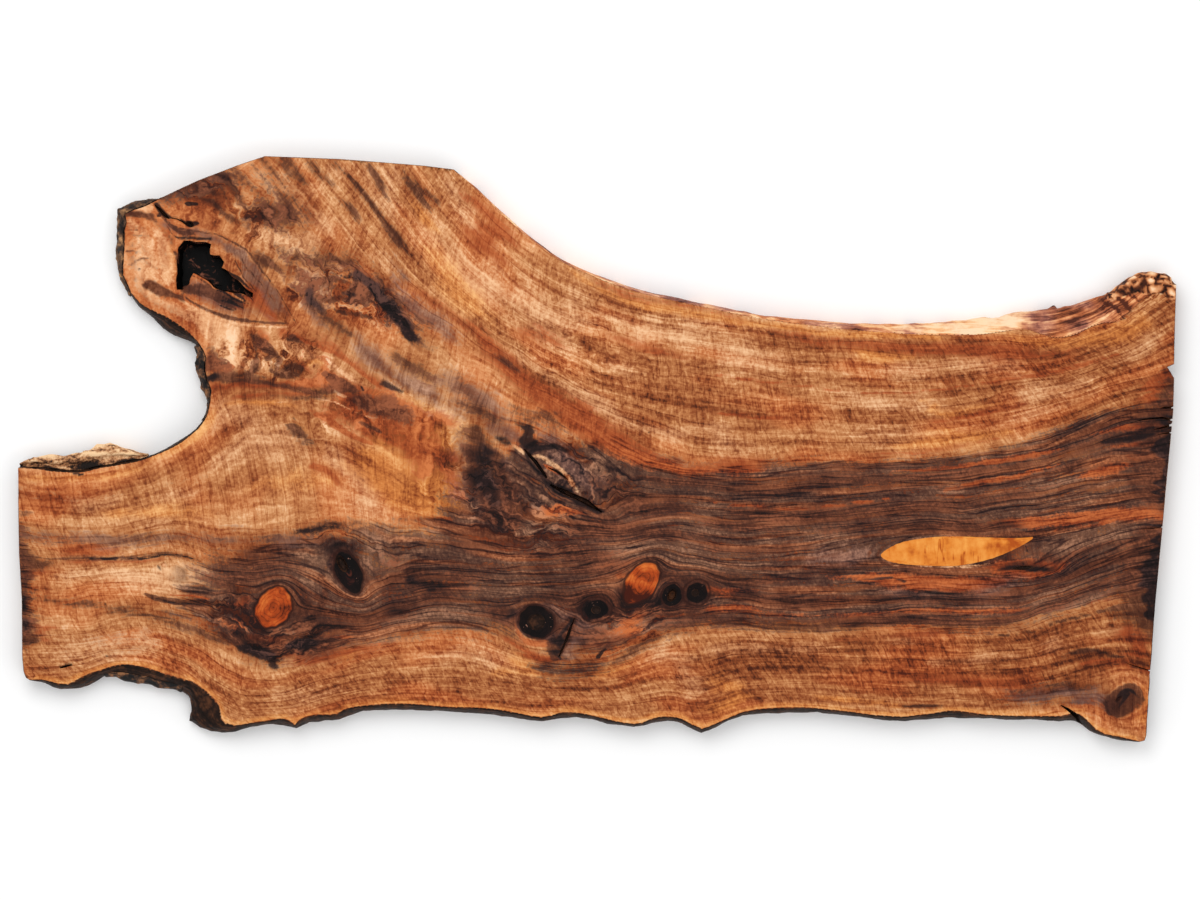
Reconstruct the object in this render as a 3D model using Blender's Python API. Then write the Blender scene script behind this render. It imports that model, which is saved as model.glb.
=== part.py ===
"""Live-edge walnut slab, forked at its left end, with the bark that still clings to its edges.

It lies flat on its sawn underside. X runs along the slab, Y across it and Z up. Lengths in this
file are in millimetres and become metres where vertices are made.
"""

import math

import bmesh
import bpy
from mathutils import Vector, geometry, noise

MM = 0.001

# Sawn thickness, and the heights of the rings of points that make up the edge all round.
THICKNESS = 60.0
RING_HEIGHTS = (60.0, 57.5, 48.0, 34.0, 20.0, 7.0, 0.0)

# How far the edge has come out at each ring, as a share of its flare. A burl keeps its height longer.
LIVE_PROFILE = (0.0, 0.2, 0.56, 0.86, 1.0, 0.94, 0.82)
BURL_PROFILE = (0.0, 0.42, 0.86, 1.0, 0.98, 0.9, 0.8)

# Sharp edges are eased by this much at the top and bottom face.
EASE = 1.4

# Distance between outline points on grown edges and on sawn ones.
LIVE_STEP = 15.0
SAWN_STEP = 70.0

# Uneven surface of a grown edge: share of the flare, least amount and most, and length of a ripple.
ROUGH_SHARE = 0.22
ROUGH_LEAST = 0.8
ROUGH_MOST = 7.0
RIPPLE = 34.0

# Clear gap between bark and wood.
BARK_GAP = 0.7

# The edge of the top face, clockwise seen from above. Each point is (x, y, flare), where flare is
# how far the edge below it reaches out past the top face. Sawn stretches are straight and upright.
UPPER_LEFT_CUT = [(-912, 518, 0), (-873, 537, 0), (-830, 557, 0), (-747, 589, 0), (-690, 608, 0)]
TOP_CUT = [(-690, 608, 0), (-533, 602, 0), (-359, 588, 0), (-298, 580, 0)]
SWEEP = [
    (-298, 580, 1), (-255, 542, 4), (-200, 490, 4), (-140, 437, 5), (-78, 392, 6), (5, 353, 7),
    (88, 325, 8), (212, 297, 9), (335, 272, 10), (430, 259, 12), (523, 248, 15),
]
WANE = [
    (523, 248, 15), (568, 244, 18), (662, 238, 24), (755, 236, 31), (796, 238, 35), (883, 248, 40),
    (920, 238, 57), (945, 230, 67), (970, 232, 66), (997, 240, 64), (1024, 254, 57), (1050, 261, 54),
    (1080, 263, 62),
]
BURL = [
    (1080, 263, 62), (1096, 275, 60), (1115, 295, 57), (1140, 318, 52), (1165, 335, 40),
    (1186, 343, 22), (1200, 341, 5),
]
RIGHT_CUT_UPPER = [(1200, 341, 0), (1197, 259, 0), (1195, 176, 0)]
CHIP = [(1195, 176, 0), (1181, 170, 0), (1188, 159, 0), (1195, 147, 0)]
RIGHT_CUT_LOWER = [
    (1195, 147, 0), (1193, 79, 0), (1185, -4, 0), (1177, -85, 0), (1170, -162, 0), (1156, -304, 0),
    (1143, -466, 0), (1135, -592, 0),
]
RIGHT_CORNER = [(1135, -592, 0), (1132, -603, 0), (1121, -606, 0)]
SWELLING = [
    (1121, -606, 2), (1081, -596, 8), (1049, -590, 6), (1030, -580, 8), (1015, -564, 11),
    (999, -549, 16), (985, -546, 17),
]
LOWER_RIGHT = [
    (985, -546, 17), (958, -552, 13), (935, -553, 11), (883, -553, 9), (803, -550, 10),
    (753, -543, 16), (722, -542, 16), (695, -547, 14), (668, -550, 12), (628, -554, 11),
    (576, -551, 10), (536, -546, 9), (484, -540, 10), (431, -535, 12), (361, -536, 13),
    (322, -540, 11), (298, -545, 10),
]
LOWER_MIDDLE = [
    (298, -545, 10), (256, -563, 8), (229, -575, 10), (216, -579, 10), (196, -571, 8),
    (177, -560, 10), (160, -555, 11), (131, -554, 12), (111, -559, 11), (92, -567, 9),
    (76, -569, 8), (55, -567, 8), (23, -560, 11), (-11, -552, 10), (-43, -546, 11),
    (-76, -546, 13), (-96, -552, 10), (-117, -555, 10), (-136, -553, 10), (-163, -547, 13),
    (-229, -537, 14), (-308, -534, 11), (-384, -528, 14), (-450, -528, 16), (-490, -532, 14),
    (-521, -538, 15), (-539, -548, 15), (-582, -550, 15), (-604, -554, 14), (-616, -560, 13),
    (-626, -571, 9), (-638, -561, 15), (-653, -558, 16), (-677, -561, 11), (-701, -565, 10),
    (-724, -568, 11), (-751, -572, 16), (-769, -567, 28), (-778, -556, 54),
]
FOOT = [
    (-778, -556, 54), (-783, -530, 74), (-796, -514, 70), (-817, -495, 47), (-836, -482, 37),
    (-855, -477, 29),
]
BAY = [
    (-855, -477, 29), (-882, -468, 25), (-904, -462, 28), (-925, -455, 27), (-945, -450, 30),
    (-967, -446, 32), (-988, -446, 28), (-1009, -451, 19), (-1028, -458, 15),
]
TOE = [
    (-1028, -458, 15), (-1049, -464, 18), (-1066, -472, 20), (-1083, -481, 15), (-1096, -487, 10),
    (-1115, -486, 12), (-1134, -481, 12), (-1148, -478, 9), (-1165, -478, 4), (-1175, -479, 2),
]
LEFT_CORNER = [(-1175, -479, 0), (-1183, -474, 0), (-1188, -459, 0)]
LEFT_CUT = [
    (-1188, -459, 0), (-1191, -427, 0), (-1192, -311, 0), (-1198, -215, 0), (-1200, -110, 0),
    (-1200, -39, 0),
]
ARM = [
    (-1200, -39, 2), (-1172, -40, 5), (-1147, -43, 6), (-1126, -46, 6), (-1099, -48, 6),
    (-1069, -48, 6), (-1031, -39, 6), (-1005, -35, 6), (-985, -31, 6), (-967, -28, 6),
    (-950, -24, 6), (-933, -19, 5),
]
ARMPIT = [
    (-933, -19, 5), (-910, -10, 5), (-885, 1, 7), (-865, 12, 8), (-848, 25, 7), (-831, 39, 6),
    (-817, 56, 6),
]
CROTCH = [
    (-817, 56, 6), (-809, 70, 5), (-804, 93, 4), (-802, 108, 4), (-800, 120, 4), (-803, 130, 4),
    (-809, 144, 4), (-814, 163, 4), (-813, 181, 4), (-811, 189, 4), (-816, 202, 4), (-827, 220, 6),
]
STUB_UNDERSIDE = [
    (-827, 220, 6), (-842, 237, 14), (-867, 257, 22), (-894, 274, 24), (-912, 282, 15),
    (-927, 289, 11), (-949, 303, 9), (-967, 324, 5),
]
STUB = [
    (-967, 324, 5), (-976, 344, 4), (-984, 361, 4), (-984, 381, 4), (-982, 409, 4), (-981, 431, 4),
    (-981, 453, 4), (-977, 468, 4), (-980, 488, 3), (-960, 497, 3), (-941, 503, 3), (-927, 510, 2),
    (-912, 518, 0),
]

EDGE = [
    ("upper_left_cut", "sawn", UPPER_LEFT_CUT),
    ("top_cut", "sawn", TOP_CUT),
    ("sweep", "live", SWEEP),
    ("wane", "live", WANE),
    ("burl", "burl", BURL),
    ("right_cut_upper", "sawn", RIGHT_CUT_UPPER),
    ("chip", "sawn", CHIP),
    ("right_cut_lower", "sawn", RIGHT_CUT_LOWER),
    ("right_corner", "sawn", RIGHT_CORNER),
    ("swelling", "live", SWELLING),
    ("lower_right", "live", LOWER_RIGHT),
    ("lower_middle", "live", LOWER_MIDDLE),
    ("foot", "live", FOOT),
    ("bay", "live", BAY),
    ("toe", "live", TOE),
    ("left_corner", "sawn", LEFT_CORNER),
    ("left_cut", "sawn", LEFT_CUT),
    ("arm", "live", ARM),
    ("armpit", "live", ARMPIT),
    ("crotch", "live", CROTCH),
    ("stub_underside", "live", STUB_UNDERSIDE),
    ("stub", "live", STUB),
]

# The rotted hollow in the stub of the upper limb, its depth, and how much its floor is drawn in.
HOLLOW = [
    (-870, 420), (-860, 435), (-825, 430), (-800, 425), (-798, 408), (-785, 400), (-775, 387),
    (-780, 375), (-765, 358), (-740, 342), (-712, 323), (-714, 313), (-742, 325), (-773, 325),
    (-820, 353), (-836, 363), (-846, 342), (-862, 328), (-873, 330), (-875, 387),
]
HOLLOW_DEPTH = 47.0
HOLLOW_DRAW = 0.88

# Open splits and drying checks, each a line of (x, y, width) and a depth.
SPLITS = [
    ("bark_inclusion_upper", [(-152, 0, 3), (-128, -27, 9), (-105, -60, 5)], 16),
    ("bark_inclusion_lower", [(-98, -74, 4), (-62, -92, 12), (-26, -108, 13), (9, -131, 4)], 20),
    ("bark_inclusion_side", [(-103, -38, 2), (-82, -48, 5), (-62, -63, 2)], 8),
    ("trunk_scar", [(-48, -350, 3), (-62, -388, 8), (-80, -430, 3)], 8),
    ("tongue_crack", [(-918, 506, 3), (-908, 497, 6), (-899, 487, 7), (-889, 478, 4)], 18),
    ("tongue_rim", [(-884, 479, 2), (-872, 477, 3), (-862, 472, 4), (-853, 466, 5)], 8),
    ("end_check_short", [(1166, 85, 1), (1180, 86, 4), (1204, 86, 4)], 26),
    ("end_check_long", [(1103, 54, 1), (1130, 61, 2), (1168, 65, 4), (1206, 58, 5)], 30),
    ("end_check_wide", [(1152, 40, 1), (1176, 46, 4), (1204, 54, 9)], 34),
    ("end_check_low", [(1160, 30, 1), (1180, 33, 3), (1202, 36, 4)], 22),
    ("end_check_middle", [(1128, -166, 1), (1150, -164, 2), (1184, -160, 3)], 18),
    ("end_check_bottom", [(1096, -444, 1), (1122, -452, 2), (1160, -464, 3)], 20),
    ("swelling_split", [(958, -530, 2), (972, -538, 6), (992, -553, 10), (1004, -572, 12)], 40),
    ("toe_hole", [(-1112, -453, 3), (-1100, -450, 4), (-1088, -446, 3)], 10),
]

# Sunken knots and rot pockets: centre, half lengths along and across, turn in degrees, and depth.
POCKETS = [
    ("black_knot_left", (-529, -238), (22, 10), -62, 12),
    ("black_knot_middle", (-127, -358), (20, 18), 0, 9),
    ("dark_knot", (-3, -333), (11, 9), 0, 5),
    ("black_void", (154, -303), (15, 10), 70, 16),
    ("ring_knot", (202, -298), (9, 8), 0, 5),
    ("arm_knot", (-898, -240), (6, 5), 0, 4),
    ("stub_eye", (-846, 466), (9, 6), -20, 10),
    ("stub_dip", (-925, 336), (13, 7), 30, 5),
    ("right_knot_crack", (881, -246), (26, 4), 3, 5),
    ("corner_knot", (1079, -516), (11, 4), 40, 6),
]

# Bark that still clings to the edge: the stretch it follows, the first and last ring it covers, the
# section beyond the wood as (share of thickness, height), and thickness from one end to the other.
BARK = [
    (
        "bark_arm", "arm", 2, 5,
        [(0.6, 7), (0.92, 16), (1.0, 32), (0.97, 46), (0.8, 51), (0.55, 49), (0.3, 41)],
        [8, 18, 21, 20, 27, 30, 34, 37, 39, 41, 43, 43, 38, 28, 15, 5],
    ),
    (
        "bark_crotch", "crotch", 1, 5,
        [(0.7, 9), (1.0, 22), (0.95, 38), (0.6, 50)],
        [2, 3, 3, 4, 7, 8, 27, 13, 14, 17, 21, 20, 16, 9],
    ),
    (
        "bark_stub", "stub", 1, 5,
        [(0.7, 9), (1.0, 22), (0.95, 38), (0.6, 51)],
        [5, 7, 9, 13, 18, 15, 14, 17, 21, 18, 17, 12, 4],
    ),
    (
        "bark_bay", "bay", 2, 5,
        [(0.7, 9), (1.0, 21), (0.95, 33), (0.6, 44)],
        [3, 7, 8, 8, 7, 8, 8, 6, 3],
    ),
]
BARK_ROUGH = 0.28
BARK_RIPPLE = 19.0

COLOURS = {
    "slab": (0.30, 0.135, 0.06, 1.0),
    "bark_arm": (0.26, 0.15, 0.07, 1.0),
    "bark_crotch": (0.07, 0.045, 0.03, 1.0),
    "bark_stub": (0.12, 0.075, 0.045, 1.0),
    "bark_bay": (0.03, 0.02, 0.015, 1.0),
}
ROUGHNESS = {"slab": 0.42}
BARK_ROUGHNESS = 0.85


def clear_scene():
    for obj in list(bpy.data.objects):
        bpy.data.objects.remove(obj, do_unlink=True)


def straight_run(points, step):
    """Points every step or so along straight lines, without the last."""
    run = []
    for start, end in zip(points, points[1:]):
        start, end = Vector(start), Vector(end)
        count = max(1, round((end - start).length / step))
        run.extend(start.lerp(end, i / count) for i in range(count))
    return run


def smooth_run(points, step):
    """Points every step or so along a smooth curve through the given points, without the last."""
    points = [Vector(p) for p in points]
    last = len(points) - 1
    tangents = []
    for i in range(last + 1):
        tangents.append((points[min(i + 1, last)] - points[max(i - 1, 0)]).normalized())
    run = []
    for i in range(last):
        start, end = points[i], points[i + 1]
        third = (end - start).length / 3
        count = max(1, round((end - start).length / step))
        curve = geometry.interpolate_bezier(
            start, start + tangents[i] * third, end - tangents[i + 1] * third, end, count + 1
        )
        run.extend(curve[:-1])
    return run


def trace_edge():
    """The whole outline as (point, flare, kind), and the index range of each named stretch."""
    outline = []
    ranges = {}
    for name, kind, points in EDGE:
        run = straight_run(points, SAWN_STEP) if kind == "sawn" else smooth_run(points, LIVE_STEP)
        ranges[name] = (len(outline), len(outline) + len(run))
        outline.extend((Vector((p.x, p.y)), max(p.z, 0.0), kind) for p in run)
    return outline, ranges


def outward_normals(outline):
    """Horizontal outward direction at each outline point, evened out over its neighbours."""
    count = len(outline)
    sawn = [kind == "sawn" for _, _, kind in outline]
    normals = []
    for i in range(count):
        before = (outline[i][0] - outline[i - 1][0]).normalized()
        after = (outline[(i + 1) % count][0] - outline[i][0]).normalized()
        along = after if sawn[i - 1] and not sawn[i] else before + after
        normals.append(Vector((-along.y, along.x)).normalized())
    for _ in range(2):
        evened = list(normals)
        for i in range(count):
            j = (i + 1) % count
            if not (sawn[i - 1] or sawn[i] or sawn[j]):
                evened[i] = (normals[i - 1] + normals[i] * 2 + normals[j]).normalized()
        normals = evened
    return normals


def ripple(point, height, seed):
    """Signed unevenness of a grown surface, between about -1 and 1."""
    place = Vector((point.x / RIPPLE, point.y / RIPPLE, height / (RIPPLE * 1.6) + seed))
    return noise.noise(place) + 0.5 * noise.noise(place * 2.3)


def edge_offset(point, flare, kind, ring):
    """How far the edge stands out from the top face's outline at one ring."""
    if kind == "sawn" or ring == 0:
        eased = ring in (0, len(RING_HEIGHTS) - 1)
        return -EASE if eased else 0.0
    profile = BURL_PROFILE if kind == "burl" else LIVE_PROFILE
    rough = min(max(flare * ROUGH_SHARE, ROUGH_LEAST), ROUGH_MOST)
    if flare < 1.0:
        rough = 0.0
    share = profile[ring]
    return flare * share + rough * share * ripple(point, RING_HEIGHTS[ring], 3.0)


def edge_point(outline, normals, i, height, out=0.0):
    """A point on the slab's edge at a height, or standing out from it by a further distance."""
    point, flare, kind = outline[i]
    ring = max(k for k, level in enumerate(RING_HEIGHTS) if level >= height)
    reach = edge_offset(point, flare, kind, ring)
    if RING_HEIGHTS[ring] > height:
        share = (RING_HEIGHTS[ring] - height) / (RING_HEIGHTS[ring] - RING_HEIGHTS[ring + 1])
        reach += (edge_offset(point, flare, kind, ring + 1) - reach) * share
    place = point + normals[i] * (reach + out)
    return Vector((place.x, place.y, height)) * MM


def loft(bm, loops, closed):
    """Skins neighbouring loops with triangles, all split the same way."""
    rows = [[bm.verts.new(p) for p in loop] for loop in loops]
    for upper, lower in zip(rows, rows[1:]):
        count = len(upper)
        for i in range(count if closed else count - 1):
            j = (i + 1) % count
            bm.faces.new((upper[i], upper[j], lower[j]))
            bm.faces.new((upper[i], lower[j], lower[i]))
    return rows


def finish_mesh(bm, name, smooth=True):
    """Turns the working mesh into an object, its faces pointing outwards."""
    bmesh.ops.recalc_face_normals(bm, faces=bm.faces)
    mesh = bpy.data.meshes.new(name)
    bm.to_mesh(mesh)
    bm.free()
    obj = bpy.data.objects.new(name, mesh)
    bpy.context.scene.collection.objects.link(obj)
    if smooth:
        mesh.shade_smooth()
        mesh.set_sharp_from_angle(angle=math.radians(40))
    return obj


def cap(bm, loop):
    """Closes a loop of vertices with a face."""
    bm.faces.new(loop)


def make_slab(outline, normals):
    bm = bmesh.new()
    loops = [
        [edge_point(outline, normals, i, height) for i in range(len(outline))]
        for height in RING_HEIGHTS
    ]
    rows = loft(bm, loops, closed=True)
    cap(bm, rows[0])
    cap(bm, list(reversed(rows[-1])))
    return finish_mesh(bm, "slab")


def prism_cutter(name, upper, lower, top, bottom):
    """A closed cutter between an upper outline and a lower one."""
    bm = bmesh.new()
    rows = loft(
        bm,
        [[Vector((x, y, top)) * MM for x, y in upper], [Vector((x, y, bottom)) * MM for x, y in lower]],
        closed=True,
    )
    cap(bm, rows[0])
    cap(bm, list(reversed(rows[1])))
    return finish_mesh(bm, name, smooth=False)


def hollow_cutter():
    centre_x = sum(x for x, _ in HOLLOW) / len(HOLLOW)
    centre_y = sum(y for _, y in HOLLOW) / len(HOLLOW)
    floor = [
        (centre_x + (x - centre_x) * HOLLOW_DRAW, centre_y + (y - centre_y) * HOLLOW_DRAW)
        for x, y in HOLLOW
    ]
    return prism_cutter("hollow_cut", HOLLOW, floor, THICKNESS + 4, THICKNESS - HOLLOW_DEPTH)


def split_cutter(name, line, depth):
    """A V-shaped trench along a line whose width changes."""
    sides = {"upper": [[], []], "lower": [[], []]}
    points = [Vector((x, y)) for x, y, _ in line]
    last = len(points) - 1
    for i, (point, (_, _, width)) in enumerate(zip(points, line)):
        along = (points[min(i + 1, last)] - points[max(i - 1, 0)]).normalized()
        across = Vector((-along.y, along.x))
        for level, share in (("upper", 0.5), ("lower", 0.2)):
            left = point + across * width * share
            right = point - across * width * share
            sides[level][0].append((left.x, left.y))
            sides[level][1].append((right.x, right.y))
    upper = sides["upper"][0] + sides["upper"][1][::-1]
    lower = sides["lower"][0] + sides["lower"][1][::-1]
    return prism_cutter(name + "_cut", upper, lower, THICKNESS + 2, THICKNESS - depth)


def pocket_cutter(name, centre, half, turn, depth):
    """A lens-shaped pocket: the lower cap of a flattened ball."""
    bm = bmesh.new()
    bmesh.ops.create_uvsphere(bm, u_segments=14, v_segments=9, radius=1.0)
    rise = depth * 0.35
    widen = 1 / math.sqrt(1 - (rise / (depth + rise)) ** 2)
    angle = math.radians(turn)
    for vert in bm.verts:
        x, y = vert.co.x * half[0] * widen, vert.co.y * half[1] * widen
        vert.co = Vector((
            centre[0] + x * math.cos(angle) - y * math.sin(angle),
            centre[1] + x * math.sin(angle) + y * math.cos(angle),
            THICKNESS + rise + vert.co.z * (depth + rise),
        )) * MM
    return finish_mesh(bm, name + "_cut", smooth=False)


def cut_slab(slab):
    """Takes the hollow, splits and sunken knots out of the slab."""
    cuts = bpy.data.collections.new("cuts")
    bpy.context.scene.collection.children.link(cuts)
    cutters = [hollow_cutter()]
    cutters += [split_cutter(*split) for split in SPLITS]
    cutters += [pocket_cutter(*pocket) for pocket in POCKETS]
    for cutter in cutters:
        bpy.context.scene.collection.objects.unlink(cutter)
        cuts.objects.link(cutter)
        cutter.hide_render = True
        cutter.display_type = "WIRE"
    modifier = slab.modifiers.new("openings", "BOOLEAN")
    modifier.operation = "DIFFERENCE"
    modifier.solver = "EXACT"
    modifier.operand_type = "COLLECTION"
    modifier.collection = cuts


def along_list(values, share):
    """The value at a share of the way along a list, eased between neighbours."""
    place = share * (len(values) - 1)
    i = min(int(place), len(values) - 2)
    return values[i] + (values[i + 1] - values[i]) * (place - i)


def make_bark(outline, normals, ranges, name, stretch, first, last, section, thickness):
    """A strip of bark along the edge, its inner face matching the wood and its outer face cracked."""
    start, end = ranges[stretch]
    stations = [i % len(outline) for i in range(start, end + 1)]
    seed = sum(map(ord, name)) * 0.1
    loops = []
    for n, i in enumerate(stations):
        share = n / (len(stations) - 1)
        thick = along_list(thickness, share)
        inner = [
            edge_point(outline, normals, i, height, BARK_GAP)
            for height in RING_HEIGHTS[first:last + 1]
        ]
        outer = []
        for part, height in section:
            place = outline[i][0] / BARK_RIPPLE
            wave = noise.noise(Vector((place.x, place.y, height / BARK_RIPPLE + seed)))
            out = max(thick * part * (1 + BARK_ROUGH * wave), 1.5)
            level = height + (2.5 * wave if height > 12 else 0.0)
            outer.append(edge_point(outline, normals, i, level, BARK_GAP + out))
        loops.append(inner + outer)
    bm = bmesh.new()
    rows = loft(bm, loops, closed=True)
    cap(bm, rows[0])
    cap(bm, list(reversed(rows[-1])))
    return finish_mesh(bm, name)


def paint(obj, colour, roughness):
    material = bpy.data.materials.new(obj.name)
    material.use_nodes = True
    shader = material.node_tree.nodes["Principled BSDF"]
    shader.inputs["Base Color"].default_value = colour
    shader.inputs["Roughness"].default_value = roughness
    shader.inputs["Metallic"].default_value = 0.0
    obj.data.materials.clear()
    obj.data.materials.append(material)


def main():
    clear_scene()
    outline, ranges = trace_edge()
    normals = outward_normals(outline)
    slab = make_slab(outline, normals)
    cut_slab(slab)
    pieces = [slab]
    pieces += [make_bark(outline, normals, ranges, *bark) for bark in BARK]
    for piece in pieces:
        paint(piece, COLOURS[piece.name], ROUGHNESS.get(piece.name, BARK_ROUGHNESS))


main()
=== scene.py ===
import math

import bmesh
import bpy
import numpy as np
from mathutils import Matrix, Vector, geometry, kdtree, noise


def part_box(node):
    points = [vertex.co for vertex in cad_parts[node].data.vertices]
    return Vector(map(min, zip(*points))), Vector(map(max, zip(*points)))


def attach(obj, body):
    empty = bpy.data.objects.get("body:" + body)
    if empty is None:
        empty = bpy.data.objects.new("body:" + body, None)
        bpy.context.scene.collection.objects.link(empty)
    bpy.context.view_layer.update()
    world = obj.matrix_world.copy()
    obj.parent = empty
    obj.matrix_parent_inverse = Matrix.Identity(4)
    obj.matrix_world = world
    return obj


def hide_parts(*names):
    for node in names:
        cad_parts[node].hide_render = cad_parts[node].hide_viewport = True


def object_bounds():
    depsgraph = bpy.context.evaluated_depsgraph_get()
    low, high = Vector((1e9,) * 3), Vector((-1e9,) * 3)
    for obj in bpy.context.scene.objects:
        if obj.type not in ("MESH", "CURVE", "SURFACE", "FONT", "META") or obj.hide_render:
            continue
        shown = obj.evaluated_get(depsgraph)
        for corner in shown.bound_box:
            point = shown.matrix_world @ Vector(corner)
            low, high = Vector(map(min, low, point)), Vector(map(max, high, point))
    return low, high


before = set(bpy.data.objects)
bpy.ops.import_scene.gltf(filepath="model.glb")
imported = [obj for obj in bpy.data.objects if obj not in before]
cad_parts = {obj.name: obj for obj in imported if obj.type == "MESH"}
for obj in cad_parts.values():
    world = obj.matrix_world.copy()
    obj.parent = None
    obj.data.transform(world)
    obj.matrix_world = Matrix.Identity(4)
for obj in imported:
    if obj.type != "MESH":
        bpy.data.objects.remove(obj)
CAD_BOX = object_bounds()

# Real sizes, in millimetres unless a name says otherwise
MM = 0.001
THICKNESS = 60.0
TOP_GRID = 8.4
FINE_GRID = 4.2
UNDER_GRID = 45.0
WALL_EDGE = 8.0
RIM_CLEARANCE = 2.6

# Where the top carries small figure and gets the finer net: low x, low y, high x, high y
DETAIL = [(-1000, 90, -370, 530), (-190, -450, 250, 70), (-800, -430, -450, -160), (560, -310, 960, -150),
          (1090, -350, 1200, 120), (-560, 0, -340, 90), (-940, -340, -800, -210), (1040, -560, 1140, -480),
          (1040, 255, 1200, 365)]

# Camera: it looks down on the slab, one degree off the vertical
CAMERA_DISTANCE = 7.0
CAMERA_TILT = math.radians(1.0)
CAMERA_LENS = 101.4
CAMERA_TARGET = Vector((0.005, -0.002, 0.060))

# Grain lines read along the board: the across-grain value, then points (x, y)
GRAIN = [
    (262, [(-290, 560), (-200, 478), (-100, 400), (0, 345), (100, 312), (250, 285), (400, 262), (550, 252),
           (700, 245), (820, 245), (900, 235), (980, 245), (1060, 275), (1130, 330)]),
    (190, [(-370, 580), (-290, 480), (-200, 395), (-100, 322), (0, 275), (120, 245), (250, 225), (400, 205),
           (550, 195), (700, 192), (850, 200), (1000, 222), (1090, 255), (1170, 315)]),
    (125, [(-460, 590), (-370, 470), (-290, 370), (-200, 290), (-100, 232), (0, 195), (120, 170), (250, 152),
           (400, 132), (550, 117), (700, 122), (850, 146), (950, 163), (1060, 198), (1160, 250)]),
    (60, [(-540, 590), (-450, 480), (-370, 380), (-290, 300), (-200, 232), (-100, 172), (0, 130), (120, 100),
          (250, 82), (400, 68), (550, 59), (700, 62), (800, 72), (900, 92), (1000, 118), (1100, 152), (1180, 178)]),
    (-20, [(-640, 600), (-560, 500), (-480, 410), (-410, 330), (-300, 262), (-200, 188), (-100, 118), (0, 64),
           (100, 4), (200, -30), (300, -36), (400, -25), (500, -20), (600, -22), (700, -18), (800, -5),
           (900, 12), (1000, 45), (1060, 74), (1120, 90), (1185, 90)]),
    (-60, [(-760, 575), (-690, 480), (-600, 400), (-540, 320), (-470, 250), (-380, 180), (-280, 120),
           (-180, 70), (-80, 20), (20, -30), (120, -62), (250, -72), (400, -72), (550, -66), (700, -57),
           (800, -45), (900, -27), (980, -2), (1060, 20), (1180, 30)]),
    (-85, [(-900, 500), (-830, 455), (-760, 430), (-700, 370), (-640, 300), (-570, 225), (-500, 170),
           (-400, 100), (-300, 60), (-190, 20), (-100, -25)]),
    (-104, [(-975, 400), (-955, 325), (-900, 288), (-840, 248), (-805, 195), (-770, 158), (-700, 140),
            (-600, 128), (-500, 98), (-400, 58), (-300, 20), (-190, -20), (-90, -75), (0, -122), (100, -118)]),
    (-116, [(-1195, -45), (-1100, -52), (-1000, -42), (-930, -20), (-870, 12), (-825, 62), (-770, 100),
            (-690, 100), (-600, 84), (-500, 50), (-400, 15), (-300, -25), (-190, -70), (-80, -122),
            (40, -128), (180, -122), (320, -128), (450, -130), (600, -118), (750, -112), (850, -100),
            (950, -84), (1060, -64), (1170, -60)]),
    (-150, [(-1195, -112), (-1000, -112), (-900, -92), (-810, -45), (-720, -5), (-640, 12), (-560, -8),
            (-480, -55), (-390, -100), (-300, -130), (-200, -145), (-100, -162), (0, -158), (100, -155),
            (250, -168), (400, -168), (560, -158), (750, -150), (900, -128), (1050, -105), (1170, -95)]),
    (-195, [(-1195, -178), (-1000, -184), (-800, -184), (-660, -174), (-560, -155), (-480, -160),
            (-390, -182), (-300, -205), (-200, -218), (-100, -222), (0, -205), (100, -200), (250, -212),
            (400, -208), (560, -186), (700, -174), (850, -168), (950, -152), (1050, -134), (1165, -118)]),
    (-260, [(-1190, -236), (-980, -226), (-889, -216), (-830, -230), (-760, -255), (-690, -268),
            (-610, -275), (-540, -300), (-480, -310), (-400, -296), (-300, -280), (-200, -288), (-100, -292),
            (0, -278), (100, -252), (200, -254), (300, -268), (420, -270), (560, -268), (720, -262),
            (860, -262), (960, -232), (1050, -198), (1160, -172)]),
    (-320, [(-1185, -300), (-1050, -296), (-950, -306), (-860, -318), (-780, -335), (-640, -350),
            (-540, -352), (-440, -336), (-340, -322), (-240, -326), (-100, -335), (20, -330), (130, -330),
            (250, -326), (350, -340), (450, -346), (600, -338), (750, -334), (880, -330), (960, -300),
            (1060, -262), (1150, -245)]),
    (-372, [(-1180, -378), (-1050, -382), (-950, -352), (-860, -366), (-780, -400), (-700, -432),
            (-620, -436), (-540, -418), (-460, -396), (-380, -386), (-280, -384), (-220, -395), (-150, -430),
            (-60, -444), (20, -432), (90, -402), (160, -374), (300, -368), (400, -379), (500, -376),
            (620, -366), (750, -370), (850, -366), (940, -338), (1040, -305), (1140, -290)]),
    (-425, [(-1175, -420), (-1080, -418), (-980, -408), (-880, -432), (-800, -478), (-740, -505),
            (-650, -500), (-560, -470), (-460, -442), (-360, -434), (-260, -434), (-170, -460), (-60, -474),
            (60, -458), (150, -432), (205, -452), (260, -432), (350, -426), (500, -424), (700, -428),
            (860, -424), (960, -398), (1060, -385), (1140, -390)]),
    (-480, [(-1150, -455), (-1060, -452), (-960, -436), (-860, -462), (-790, -510), (-740, -540),
            (-650, -535), (-560, -512), (-460, -492), (-350, -482), (-240, -485), (-120, -505), (0, -512),
            (90, -500), (150, -488), (208, -508), (270, -478), (370, -476), (500, -480), (650, -484),
            (800, -488), (900, -482), (1000, -462), (1080, -448), (1140, -455)]),
    (-545, [(-1130, -480), (-1000, -448), (-940, -448), (-860, -470), (-790, -525), (-750, -560),
            (-690, -562), (-625, -568), (-550, -545), (-450, -532), (-300, -540), (-150, -548), (-50, -545),
            (50, -562), (150, -546), (218, -568), (300, -540), (450, -536), (600, -550), (750, -556),
            (900, -556), (1000, -548), (1060, -560), (1130, -590)]),
]

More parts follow.
